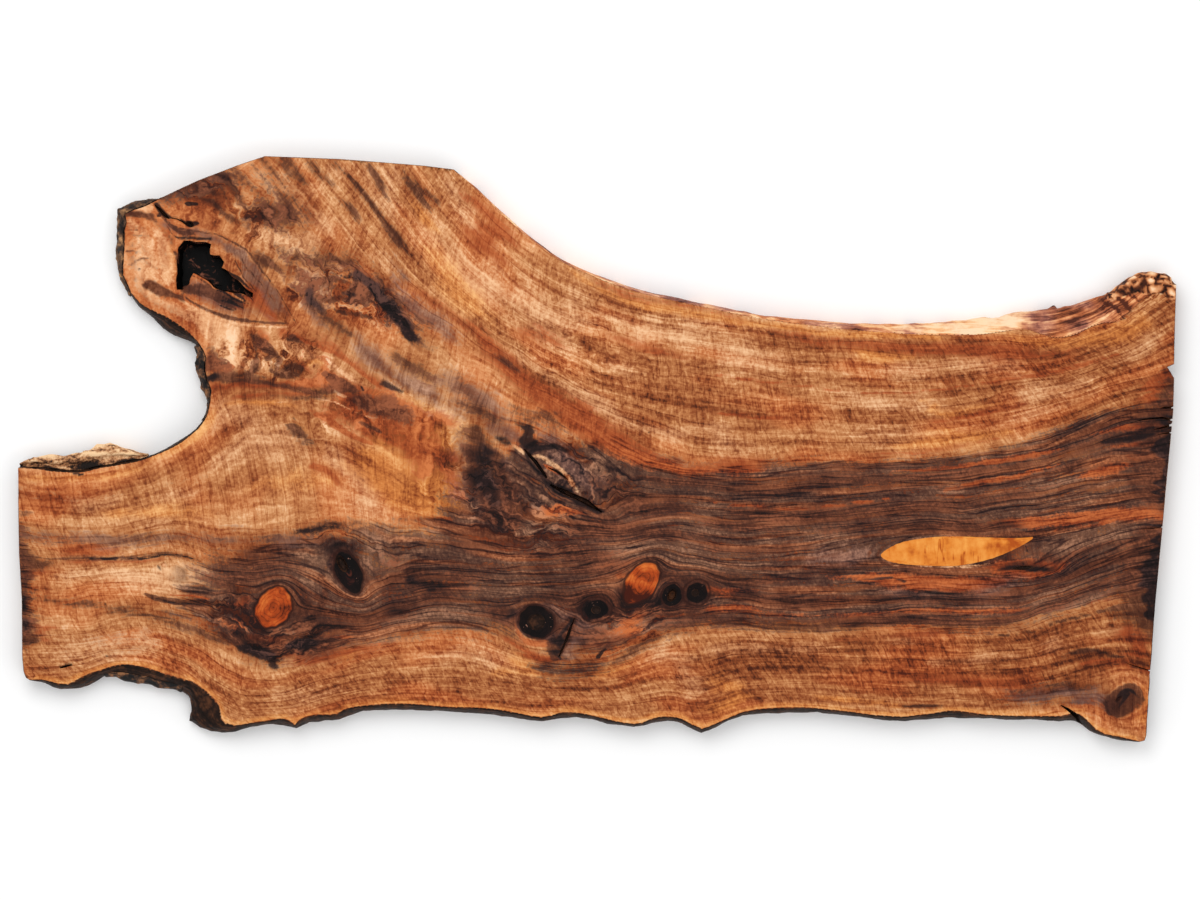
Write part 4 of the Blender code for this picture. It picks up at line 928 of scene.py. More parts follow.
def fill_level(bm, level, spacing, rng, finer=None):
    """Fills the open loops at one height with triangles of about the given size."""
    rim = [e for e in bm.edges if e.is_boundary and all(abs(v.co.z - level) < 2e-5 for v in e.verts)]
    verts = sorted({v for e in rim for v in e.verts}, key=lambda v: v.index)
    place = {v: i for i, v in enumerate(verts)}
    ends = np.array([[*e.verts[0].co.xy, *e.verts[1].co.xy] for e in rim]) / MM
    low, high = ends[:, :2].min(0), ends[:, :2].max(0)
    gx, gy = net_points(low, high, spacing, rng)
    if finer:
        fine_x, fine_y = net_points(low, high, finer, rng)
        coarse, fine = ~in_detail(gx, gy), in_detail(fine_x, fine_y)
        gx, gy = np.append(gx[coarse], fine_x[fine]), np.append(gy[coarse], fine_y[fine])
    keep = inside_loops(gx, gy, ends)
    gx, gy = gx[keep], gy[keep]
    tree = kdtree.KDTree(len(verts))
    for i, v in enumerate(verts):
        tree.insert((v.co.x / MM, v.co.y / MM, 0.0), i)
    tree.balance()
    clear = min(RIM_CLEARANCE, spacing * 0.4)
    free = np.array([tree.find((a, b, 0.0))[2] > clear for a, b in zip(gx, gy)])
    gx, gy = gx[free], gy[free]
    points = [Vector((v.co.x / MM, v.co.y / MM)) for v in verts] + [Vector(p) for p in zip(gx, gy)]
    edges = [(place[e.verts[0]], place[e.verts[1]]) for e in rim]
    out = geometry.delaunay_2d_cdt(points, edges, [], 1, 1e-6, True)
    flat, faces, origins = out[0], out[2], out[3]
    made = []
    for i, p in enumerate(flat):
        source = [j for j in origins[i] if j < len(verts)]
        if source:
            made.append(verts[source[0]])
        else:
            made.append(bm.verts.new((p.x * MM, p.y * MM, level)))
    centres = np.array([[sum(flat[j].x for j in f) / 3, sum(flat[j].y for j in f) / 3] for f in faces])
    keep = inside_loops(centres[:, 0], centres[:, 1], ends)
    for f, wanted in zip(faces, keep):
        if wanted:
            corners = [made[j] for j in f]
            if len(set(corners)) == 3:
                bm.faces.new(corners if level > 0.01 else corners[::-1])


def refined(source, name):
    """The CAD mesh with finer walls and a fine even net on its flat faces."""
    rng = np.random.default_rng(7)
    bm = bmesh.new()
    bm.from_mesh(source.data)
    bmesh.ops.remove_doubles(bm, verts=bm.verts, dist=2e-5)
    bm.normal_update()
    top = THICKNESS * MM
    flat = [f for f in bm.faces
            if all(abs(v.co.z - top) < 2e-5 for v in f.verts) or all(abs(v.co.z) < 2e-5 for v in f.verts)]
    bmesh.ops.delete(bm, geom=flat, context="FACES_KEEP_BOUNDARY")
    bm.edges.ensure_lookup_table()
    for _ in range(3):
        longer = [e for e in bm.edges if e.calc_length() > WALL_EDGE * MM]
        if longer:
            bmesh.ops.subdivide_edges(bm, edges=longer, cuts=1, use_grid_fill=True)
            bmesh.ops.triangulate(bm, faces=[f for f in bm.faces if len(f.verts) > 3])
    bm.verts.index_update()
    loose = [e for e in bm.edges if not e.link_faces]
    bmesh.ops.delete(bm, geom=loose, context="EDGES")
    bm.verts.index_update()
    fill_level(bm, top, TOP_GRID, rng, FINE_GRID)
    fill_level(bm, 0.0, UNDER_GRID, rng)
    bmesh.ops.recalc_face_normals(bm, faces=bm.faces)
    mesh = bpy.data.meshes.new(name)
    bm.to_mesh(mesh)
    bm.free()
    print("slab triangles", len(mesh.polygons))
    piece = bpy.data.objects.new(name, mesh)
    bpy.context.scene.collection.objects.link(piece)
    return piece


# Shader building
def srgb(red, green, blue):
    def linear(value):
        value = value / 255.0
        return value / 12.92 if value <= 0.04045 else ((value + 0.055) / 1.055) ** 2.4
    return (linear(red), linear(green), linear(blue), 1.0)


class Tree:
    """Short calls for the nodes of one material."""

    def __init__(self, name):
        self.material = bpy.data.materials.new(name)
        self.material.use_nodes = True
        self.nodes = self.material.node_tree.nodes
        self.links = self.material.node_tree.links
        self.nodes.clear()
        self.shader = self.nodes.new("ShaderNodeBsdfPrincipled")
        output = self.nodes.new("ShaderNodeOutputMaterial")
        self.links.new(self.shader.outputs[0], output.inputs[0])

    def put(self, socket, value):
        if hasattr(value, "is_linked"):
            self.links.new(value, socket)
        else:
            socket.default_value = value

    def math(self, operation, a, b=0.0, c=0.0, clamp=False):
        node = self.nodes.new("ShaderNodeMath")
        node.operation = operation
        node.use_clamp = clamp
        for socket, value in zip(node.inputs, (a, b, c)):
            self.put(socket, value)
        return node.outputs[0]

    def add(self, a, b):
        return self.math("ADD", a, b)

    def times(self, a, b):
        return self.math("MULTIPLY", a, b)

    def off(self, value, amount):
        """The value less a half, times an amount."""
        return self.math("MULTIPLY_ADD", value, amount, -0.5 * amount)

    def streaks(self, x, y, z, detail=2.0, rough=0.55, contrast=2.4):
        """Noise that is stretched in value so that it runs from about 0 to 1."""
        value = self.noise(self.vector(x, y, z), 1.0, detail, rough)
        return self.math("MULTIPLY_ADD", value, contrast, 0.5 - 0.5 * contrast, clamp=True)

    def contour(self, x, y, z, width):
        """Thin lines along the mid level of a noise."""
        value = self.noise(self.vector(x, y, z), 1.0, 2.0, 0.5)
        gap = self.math("ABSOLUTE", self.math("SUBTRACT", value, 0.5))
        return self.math("SUBTRACT", 1.0, self.step(gap, 0.0, width))

    def step(self, value, low, high):
        node = self.nodes.new("ShaderNodeMapRange")
        node.interpolation_type = "SMOOTHSTEP"
        for socket, item in zip(node.inputs, (value, low, high, 0.0, 1.0)):
            self.put(socket, item)
        return node.outputs[0]

    def mix(self, factor, a, b):
        node = self.nodes.new("ShaderNodeMix")
        node.data_type = "RGBA"
        self.put(node.inputs[0], factor)
        self.put(node.inputs[6], a)
        self.put(node.inputs[7], b)
        return node.outputs[2]

    def attribute(self, name):
        node = self.nodes.new("ShaderNodeAttribute")
        node.attribute_name = name
        return node

    def channels(self, name):
        node = self.attribute(name)
        split = self.nodes.new("ShaderNodeSeparateColor")
        self.links.new(node.outputs["Color"], split.inputs[0])
        return [split.outputs[0], split.outputs[1], split.outputs[2], node.outputs["Alpha"]]

    def vector(self, x, y, z=0.0):
        node = self.nodes.new("ShaderNodeCombineXYZ")
        for socket, value in zip(node.inputs, (x, y, z)):
            self.put(socket, value)
        return node.outputs[0]

    def noise(self, vector, scale=1.0, detail=2.0, rough=0.5, out=0, twist=0.0):
        node = self.nodes.new("ShaderNodeTexNoise")
        node.noise_dimensions = "3D"
        self.put(node.inputs["Vector"], vector)
        self.put(node.inputs["Scale"], scale)
        self.put(node.inputs["Detail"], detail)
        self.put(node.inputs["Roughness"], rough)
        self.put(node.inputs["Distortion"], twist)
        return node.outputs[out]

    def split(self, colour):
        node = self.nodes.new("ShaderNodeSeparateColor")
        self.links.new(colour, node.inputs[0])
        return node.outputs[:3]

    def ramp(self, factor, stops):
        node = self.nodes.new("ShaderNodeValToRGB")
        elements = node.color_ramp.elements
        while len(elements) < len(stops):
            elements.new(0.5)
        for element, (place, colour) in zip(elements, stops):
            element.position = place
            element.color = colour
        self.put(node.inputs[0], factor)
        return node.outputs[0]

    def place(self):
        return self.nodes.new("ShaderNodeTexCoord").outputs["Object"]

    def place_part(self, axis):
        node = self.nodes.new("ShaderNodeSeparateXYZ")
        self.links.new(self.place(), node.inputs[0])
        return node.outputs[axis]

    def bump(self, height, distance, strength=1.0):
        node = self.nodes.new("ShaderNodeBump")
        node.inputs["Distance"].default_value = distance
        node.inputs["Strength"].default_value = strength
        self.put(node.inputs["Height"], height)
        self.links.new(node.outputs[0], self.shader.inputs["Normal"])


def walnut_material():
    t = Tree("walnut_wood")
    across, along, ring, curl = t.channels("grain")
    heart, dark, grey, rust = t.channels("stain_a")
    black, gold, pale, cream = t.channels("stain_b")
    rim, wall, sawn, wane = t.channels("place")
    amber, copper, knot_dark, hollow = t.channels("knots")
    burl, crack, shaded, bands = t.channels("burl")
    spot = t.place()

    # Wobble of the grain, strong where the figure curls
    loose = t.split(t.noise(spot, 9.0, 2.0, 0.5, out=1))
    tight = t.split(t.noise(spot, 24.0, 3.0, 0.55, out=1))
    swing = t.add(t.off(loose[0], 16.0), t.times(t.off(tight[0], 58.0), curl))
    sway = t.add(t.off(loose[1], 16.0), t.times(t.off(tight[1], 58.0), curl))
    a = t.add(across, swing)
    s = t.add(along, sway)

    fine = t.streaks(t.times(a, 0.21), t.times(s, 0.014), 0.0, 3.0, 0.62)
    middle = t.streaks(t.times(a, 0.075), t.times(s, 0.0048), 9.0, 3.0, 0.55)
    broad = t.streaks(t.times(a, 0.026), t.times(s, 0.0018), 3.0, 2.0, 0.5)
    slant = t.math("MULTIPLY_ADD", a, 0.38, s)
    bars = t.streaks(t.times(slant, 0.075), t.times(a, 0.020), 14.0, 3.0, 0.62)
    nicks = t.contour(t.times(slant, 0.052), t.times(a, 0.013), 2.0, 0.045)
    glints = t.contour(t.times(slant, 0.060), t.times(a, 0.018), 8.0, 0.040)
    grit = t.math("MULTIPLY_ADD", t.noise(spot, 150.0, 2.0, 0.6), 3.2, -1.1, clamp=True)
    blotch = t.math("MULTIPLY_ADD", t.noise(spot, 13.0, 4.0, 0.6), 2.6, -0.8, clamp=True)
    flame = t.vector(t.times(a, 0.052), t.times(s, 0.017), 5.0)
    figure = t.math("MULTIPLY_ADD", t.noise(flame, 1.0, 3.0, 0.62, twist=0.9), 3.4, -1.2, clamp=True)
    hue = t.streaks(t.times(a, 0.055), t.times(s, 0.0036), 27.0, 3.0, 0.6)
    pores = t.noise(t.vector(t.times(a, 0.50), t.times(s, 0.09), 21.0), 1.0, 2.0, 0.6)

    # Thin dark growth lines
    phase = t.add(t.times(a, 0.038), t.off(broad, 1.1))
    saw = t.math("ABSOLUTE", t.math("SUBTRACT", t.math("FRACT", phase), 0.5))
    lines = t.math("SUBTRACT", 1.0, t.step(saw, 0.0, 0.12))
    lines = t.times(lines, t.step(middle, 0.15, 0.75))

    sap = t.math("MULTIPLY_ADD", t.step(heart, 0.1, 0.6), -0.62, 1.0)
    marks = t.math("MULTIPLY_ADD", nicks, -0.14, t.off(bars, 0.15))
    marks = t.math("MULTIPLY_ADD", glints, 0.11, marks)
    tone = t.add(0.55, t.off(broad, 0.22))
    tone = t.add(tone, t.off(middle, 0.28))
    tone = t.add(tone, t.off(fine, 0.28))
    tone = t.add(tone, t.off(grit, 0.19))
    tone = t.add(tone, t.off(blotch, 0.24))
    tone = t.add(tone, t.times(marks, sap))
    tone = t.add(tone, t.times(t.off(figure, 1.20), curl))
    tone = t.math("MULTIPLY_ADD", lines, -0.20, tone)
    tone = t.math("MULTIPLY_ADD", shaded, -0.30, tone)
    tone = t.math("MULTIPLY_ADD", t.times(bands, t.step(fine, 0.0, 0.45)), -0.48, tone)
    veins = t.contour(t.times(a, 0.070), t.times(s, 0.0034), 33.0, 0.040)
    deep = t.step(heart, 0.2, 0.7)
    tone = t.math("MULTIPLY_ADD", t.times(veins, deep), -0.26, tone)
    tone = t.math("MULTIPLY_ADD", t.math("SUBTRACT", tone, 0.5), t.math("MULTIPLY_ADD", deep, 0.35, 1.0), 0.5)

    base = t.ramp(tone, [
        (0.00, srgb(72, 32, 16)), (0.28, srgb(142, 78, 40)), (0.52, srgb(186, 126, 76)),
        (0.74, srgb(218, 168, 116)), (1.00, srgb(248, 214, 170))])

    ruddy = t.ramp(tone, [
        (0.00, srgb(80, 30, 14)), (0.28, srgb(156, 76, 36)), (0.52, srgb(200, 122, 68)),
        (0.74, srgb(226, 164, 110)), (1.00, srgb(250, 210, 164))])
    tint = t.noise(t.vector(t.times(a, 0.014), t.times(s, 0.0042), 41.0), 1.0, 2.0, 0.5)
    base = t.mix(t.times(t.step(tint, 0.44, 0.66), 0.85), base, ruddy)

    feather = t.add(t.off(fine, 0.50), t.add(t.off(middle, 0.50), t.off(grit, 0.30)))
    patchy = t.add(t.off(blotch, 0.40), t.times(feather, 0.6))
    curly = t.add(t.times(feather, 0.8), t.times(t.off(figure, 0.7), curl))

    def cover(mask, rough, low=0.26, high=0.70, most=0.80):
        reach = t.times(rough, t.step(mask, 0.0, 0.25))
        return t.step(t.math("MULTIPLY_ADD", mask, most, reach), low, high)

    colour = t.mix(t.times(cover(pale, patchy, 0.2, 0.9), 0.75), base, t.ramp(tone, [
        (0.05, srgb(150, 88, 52)), (0.45, srgb(212, 160, 112)), (0.80, srgb(244, 208, 162))]))
    colour = t.mix(t.times(cover(gold, patchy, 0.2, 0.9), 0.80), colour, t.ramp(tone, [
        (0.05, srgb(140, 66, 26)), (0.50, srgb(212, 138, 68)), (0.90, srgb(246, 196, 124))]))
    cool = t.ramp(tone, [
        (0.10, srgb(26, 20, 23)), (0.42, srgb(62, 44, 40)), (0.66, srgb(98, 70, 57)), (0.95, srgb(160, 118, 92))])
    warm = t.ramp(tone, [
        (0.10, srgb(46, 22, 16)), (0.42, srgb(104, 58, 38)), (0.66, srgb(142, 84, 53)), (0.95, srgb(198, 134, 90))])
    heartwood = t.mix(t.times(t.step(hue, 0.42, 0.80), 0.9), cool, warm)
    colour = t.mix(t.times(cover(heart, t.times(curly, 1.3), 0.22, 0.70), 0.94), colour, heartwood)
    colour = t.mix(t.times(cover(rust, curly), 0.88), colour, t.ramp(tone, [
        (0.05, srgb(72, 26, 14)), (0.45, srgb(152, 69, 32)), (0.90, srgb(202, 114, 58))]))
    colour = t.mix(t.times(cover(grey, patchy, 0.25, 0.85), 0.80), colour, t.ramp(tone, [
        (0.05, srgb(50, 38, 38)), (0.50, srgb(108, 80, 72)), (0.95, srgb(178, 138, 116))]))
    colour = t.mix(t.times(cover(dark, curly), 0.90), colour, t.ramp(tone, [
        (0.05, srgb(24, 15, 14)), (0.50, srgb(76, 43, 31)), (0.95, srgb(142, 86, 58))]))
    bare = t.math("MULTIPLY_ADD", dark, -0.95, 0.90, clamp=True)
    colour = t.mix(t.times(cover(cream, patchy, 0.3, 0.8), bare), colour, t.ramp(tone, [
        (0.02, srgb(150, 84, 46)), (0.30, srgb(206, 146, 98)), (0.60, srgb(238, 192, 142)),
        (0.92, srgb(253, 228, 190))]))
    colour = t.mix(t.times(cover(black, t.times(patchy, 0.7)), 0.94), colour, t.ramp(tone, [
        (0.10, srgb(12, 9, 10)), (0.60, srgb(32, 24, 26)), (1.00, srgb(84, 60, 54))]))

    # Growth rings of the knots
    wavy = t.add(t.times(ring, 4.4), t.add(t.off(blotch, 1.6), t.off(loose[2], 2.4)))
    circles = t.step(t.math("ABSOLUTE", t.math("SUBTRACT", t.math("FRACT", wavy), 0.5)), 0.0, 0.20)
    mottle = t.math("MULTIPLY_ADD", t.noise(spot, 32.0, 4.0, 0.62), 2.4, -0.7, clamp=True)
    shade = t.add(t.times(circles, 0.16), t.times(mottle, 0.62))
    shade = t.math("MULTIPLY_ADD", shaded, -0.42, t.add(shade, 0.06))
    halo = t.math("SUBTRACT", 1.0, t.step(t.add(ring, t.off(middle, 0.5)), 1.0, 1.65))
    halo = t.times(halo, t.math("MULTIPLY_ADD", rust, -0.8, t.step(heart, 0.1, 0.5), clamp=True))
    colour = t.mix(t.times(halo, 0.62), colour, t.ramp(tone, [
        (0.10, srgb(24, 14, 13)), (0.60, srgb(72, 40, 30)), (1.00, srgb(132, 78, 52))]))
    honey = t.add(t.times(t.streaks(t.times(across, 0.20), t.times(along, 0.05), 31.0), 0.40), t.times(mottle, 0.5))
    worms = t.contour(t.times(across, 0.085), t.times(along, 0.055), 51.0, 0.035)
    honey = t.math("MULTIPLY_ADD", t.times(worms, t.step(blotch, 0.45, 0.70)), -0.34, honey)
    honey = t.math("MULTIPLY_ADD", shaded, -0.34, honey)
    colour = t.mix(t.step(amber, 0.4, 0.6), colour, t.ramp(t.add(honey, 0.06), [
        (0.15, srgb(176, 86, 26)), (0.45, srgb(224, 140, 52)), (0.90, srgb(246, 180, 88))]))
    colour = t.mix(t.step(copper, 0.35, 0.65), colour, t.ramp(shade, [
        (0.00, srgb(66, 24, 12)), (0.40, srgb(176, 76, 27)), (0.90, srgb(232, 138, 62))]))
    outline = t.math("SUBTRACT", 1.0, t.step(t.math("ABSOLUTE", t.math("SUBTRACT", ring, 1.03)), 0.02, 0.12))
    colour = t.mix(t.times(outline, t.times(t.step(heart, 0.3, 0.7), 0.75)), colour, srgb(44, 20, 14))
    colour = t.mix(t.times(t.step(knot_dark, 0.20, 0.60), 0.97), colour, t.ramp(shade, [
        (0.40, srgb(6, 4, 5)), (0.70, srgb(17, 10, 11)), (0.86, srgb(52, 24, 19)), (1.00, srgb(96, 50, 34))]))
    eye = t.math("SUBTRACT", 1.0, t.step(t.math("ABSOLUTE", t.math("SUBTRACT", ring, 0.20)), 0.01, 0.07))
    eye = t.times(t.times(eye, t.step(mottle, 0.45, 0.75)), t.step(knot_dark, 0.5, 0.9))
    colour = t.mix(t.times(eye, 0.3), colour, srgb(128, 66, 46))
    # Painted highlights: small pale glints on the dark knots, standing in for light caught on their glossy surface
    painted_glints = t.step(t.noise(spot, 130.0, 2.0, 0.5, twist=1.2), 0.66, 0.72)
    painted_glints = t.times(painted_glints, t.times(t.step(knot_dark, 0.5, 0.9), t.step(tight[0], 0.44, 0.56)))
    colour = t.mix(t.times(painted_glints, 0.6), colour, srgb(196, 150, 128))

    # The bright line where the sapwood meets the bark, and the dark outer skin of the walls, partly dark bark and
    # partly painted shade
    near_rim = t.add(rim, t.off(middle, 9.0))
    glow = t.math("SUBTRACT", 1.0, t.step(near_rim, 3.0, 15.0))
    glow = t.times(glow, t.math("SUBTRACT", 1.0, t.step(wall, 0.2, 0.6)))
    colour = t.mix(t.times(glow, 0.75), colour, t.ramp(tone, [
        (0.10, srgb(190, 104, 46)), (0.50, srgb(234, 168, 94)), (0.90, srgb(254, 214, 150))]))
    # Painted shade on the walls: dark cambium and bark, darkened further as if the walls stood in shadow
    fibres = t.streaks(t.times(s, 0.016), t.times(t.place_part(2), 230.0), 61.0, 3.0, 0.6)
    skin_and_shade = t.ramp(t.add(t.times(t.noise(spot, 70.0, 5.0, 0.65), 0.72), t.times(fibres, 0.28)), [
        (0.30, srgb(12, 9, 8)), (0.50, srgb(38, 26, 20)), (0.78, srgb(104, 68, 44))])
    colour = t.mix(t.step(wall, 0.3, 0.7), colour, skin_and_shade)
    rise = t.math("ADD", t.place_part(2), 0.09)
    reach = t.math("ADD", t.place_part(1), 0.21)
    radius = t.math("SQRT", t.add(t.times(rise, rise), t.times(reach, reach)))
    turn = t.math("FRACT", t.add(t.times(radius, 125.0), t.off(blotch, 1.3)))
    growth = t.math("SUBTRACT", 1.0, t.step(t.math("ABSOLUTE", t.math("SUBTRACT", turn, 0.5)), 0.0, 0.28))
    cut = t.add(t.times(t.noise(spot, 190.0, 3.0, 0.6), 0.7), t.times(blotch, 0.3))
    ends = t.ramp(t.math("MULTIPLY_ADD", growth, -0.14, t.add(cut, 0.03)), [
        (0.30, srgb(52, 32, 22)), (0.50, srgb(104, 68, 44)), (0.75, srgb(158, 112, 74))])
    colour = t.mix(t.step(sawn, 0.4, 0.6), colour, ends)
    # The wane: its own pale and purple-brown wood, with a painted highlight from the cream and lighter strokes where
    # its slope faces the light
    wane_tone = t.add(t.times(fine, 0.34), t.add(t.times(middle, 0.36), t.times(mottle, 0.30)))
    wane_tone = t.math("MULTIPLY_ADD", wane_tone, 1.5, -0.25)
    wane_tone = t.add(wane_tone, t.math("MULTIPLY_ADD", cream, 0.36, t.times(dark, -0.26)))
    wane_tone = t.add(t.math("MULTIPLY_ADD", shaded, -0.32, wane_tone), t.off(figure, 0.30))
    wane_tone = t.math("MULTIPLY_ADD", black, -0.60, wane_tone)
    smooth = t.mix(t.step(loose[2], 0.42, 0.60), t.ramp(wane_tone, [
        (0.02, srgb(62, 36, 34)), (0.30, srgb(146, 96, 84)), (0.52, srgb(200, 142, 114)),
        (0.74, srgb(246, 204, 156)), (1.00, srgb(255, 236, 198))]), t.ramp(wane_tone, [
            (0.02, srgb(84, 42, 26)), (0.30, srgb(176, 102, 60)), (0.52, srgb(224, 154, 100)),
            (0.74, srgb(250, 206, 148)), (1.00, srgb(255, 236, 192))]))
    colour = t.mix(t.step(wane, 0.4, 0.6), colour, smooth)
    seam = t.math("SUBTRACT", 1.0, t.step(t.math("ABSOLUTE", t.math("SUBTRACT", wane, 0.38)), 0.04, 0.24))
    colour = t.mix(t.times(seam, t.step(middle, 0.2, 0.6)), colour, srgb(62, 30, 20))
    # The burl: black cracks and pale lumps, partly its own colour and partly painted shade in the sunken cracks and
    # painted light on the raised lump tops
    burl_lumps_and_shade = t.ramp(t.math("MULTIPLY_ADD", mottle, 0.26, t.math("MULTIPLY_ADD", crack, 0.90, 0.02)), [
        (0.16, srgb(12, 8, 7)), (0.30, srgb(84, 44, 26)), (0.46, srgb(188, 122, 74)),
        (0.72, srgb(240, 190, 138)), (0.96, srgb(255, 234, 196))])
    colour = t.mix(t.step(t.add(burl, t.off(mottle, 0.5)), 0.40, 0.62), colour, burl_lumps_and_shade)
    # The deep hollow: near-black painted shadow, with a few brown rotted fibres in it
    hollow_shadow = t.ramp(t.noise(spot, 42.0, 4.0, 0.6, twist=0.8), [
        (0.40, srgb(4, 3, 3)), (0.55, srgb(9, 6, 6)), (0.60, srgb(84, 52, 40)), (0.74, srgb(170, 112, 84))])
    colour = t.mix(t.step(hollow, 0.4, 0.6), colour, hollow_shadow)
    colour = t.mix(t.times(t.step(pores, 0.60, 0.80), 0.30), colour, srgb(60, 34, 22))

    grade = t.nodes.new("ShaderNodeMix")
    grade.data_type = "RGBA"
    grade.blend_type = "MULTIPLY"
    grade.inputs[0].default_value = 1.0
    t.put(grade.inputs[6], colour)
    t.put(grade.inputs[7], (0.92, 0.79, 0.76, 1.0))
    t.put(t.shader.inputs["Base Color"], grade.outputs[2])
    t.put(t.shader.inputs["Roughness"], t.math("MULTIPLY_ADD", fine, 0.16, 0.50))
    t.shader.inputs["Specular IOR Level"].default_value = 0.08
    height = t.add(t.times(fine, 0.6), t.add(t.times(nicks, -0.35), t.times(bars, 0.25)))
    height = t.add(height, t.times(t.noise(spot, 160.0, 4.0, 0.6), t.math("MULTIPLY_ADD", wall, 3.0, 0.1)))
    t.bump(height, 0.0007, 0.6)
    return t.material


def bark_material(name, stops, run, shade_to_light_y):
    """Bark: run is how far its ridges stretch along x; the last argument is the y where painted shade, on the side
    towards the wood, turns to painted light on the side that faces the light.
    """
    t = Tree(name)
    spot = t.place()
    x, y, z = (t.place_part(i) for i in range(3))
    lump = t.noise(t.vector(t.times(x, 1.0 / run), y, z), 38.0, 5.0, 0.62)
    grit = t.noise(spot, 170.0, 4.0, 0.65)
    high = t.attribute("height").outputs["Fac"]
    tone = t.add(t.add(t.times(high, 0.55), t.times(lump, 0.45)), t.off(grit, 0.5))
    tone = t.math("MULTIPLY_ADD", tone, 1.5, -0.25)
    # Painted shade and light: the bark darkens towards low y and lightens towards high y, as if lit from that side
    if shade_to_light_y is not None:
        tone = t.add(tone, t.math("MULTIPLY_ADD", y, 6.0, -6.0 * shade_to_light_y * MM))
    t.put(t.shader.inputs["Base Color"], t.ramp(tone, stops))
    t.put(t.shader.inputs["Roughness"], t.math("MULTIPLY_ADD", grit, 0.2, 0.7))
    t.shader.inputs["Specular IOR Level"].default_value = 0.25
    t.bump(t.add(lump, t.times(grit, 0.6)), 0.002, 0.8)
    return t.material


# The slab
def store(mesh, name, columns):
    data = np.ones((len(mesh.vertices), 4), np.float32)
    for i, column in enumerate(columns):
        data[:, i] = column
    attribute = mesh.attributes.new(name, "FLOAT_COLOR", "POINT")
    attribute.data.foreach_set("color", data.ravel())


def coordinates(mesh):
    co = np.empty(len(mesh.vertices) * 3, np.float32)
    mesh.vertices.foreach_get("co", co)
    return co.reshape(-1, 3).astype(float)


def noise_at(co, size, seed):
    """Smooth noise of the given size in millimetres, one value for each point."""
    shift = Vector((seed * 13.7, seed * 5.3, seed * 9.1))
    scale = 1000.0 / size
    return np.array([noise.noise(Vector(p) * scale + shift) for p in co])


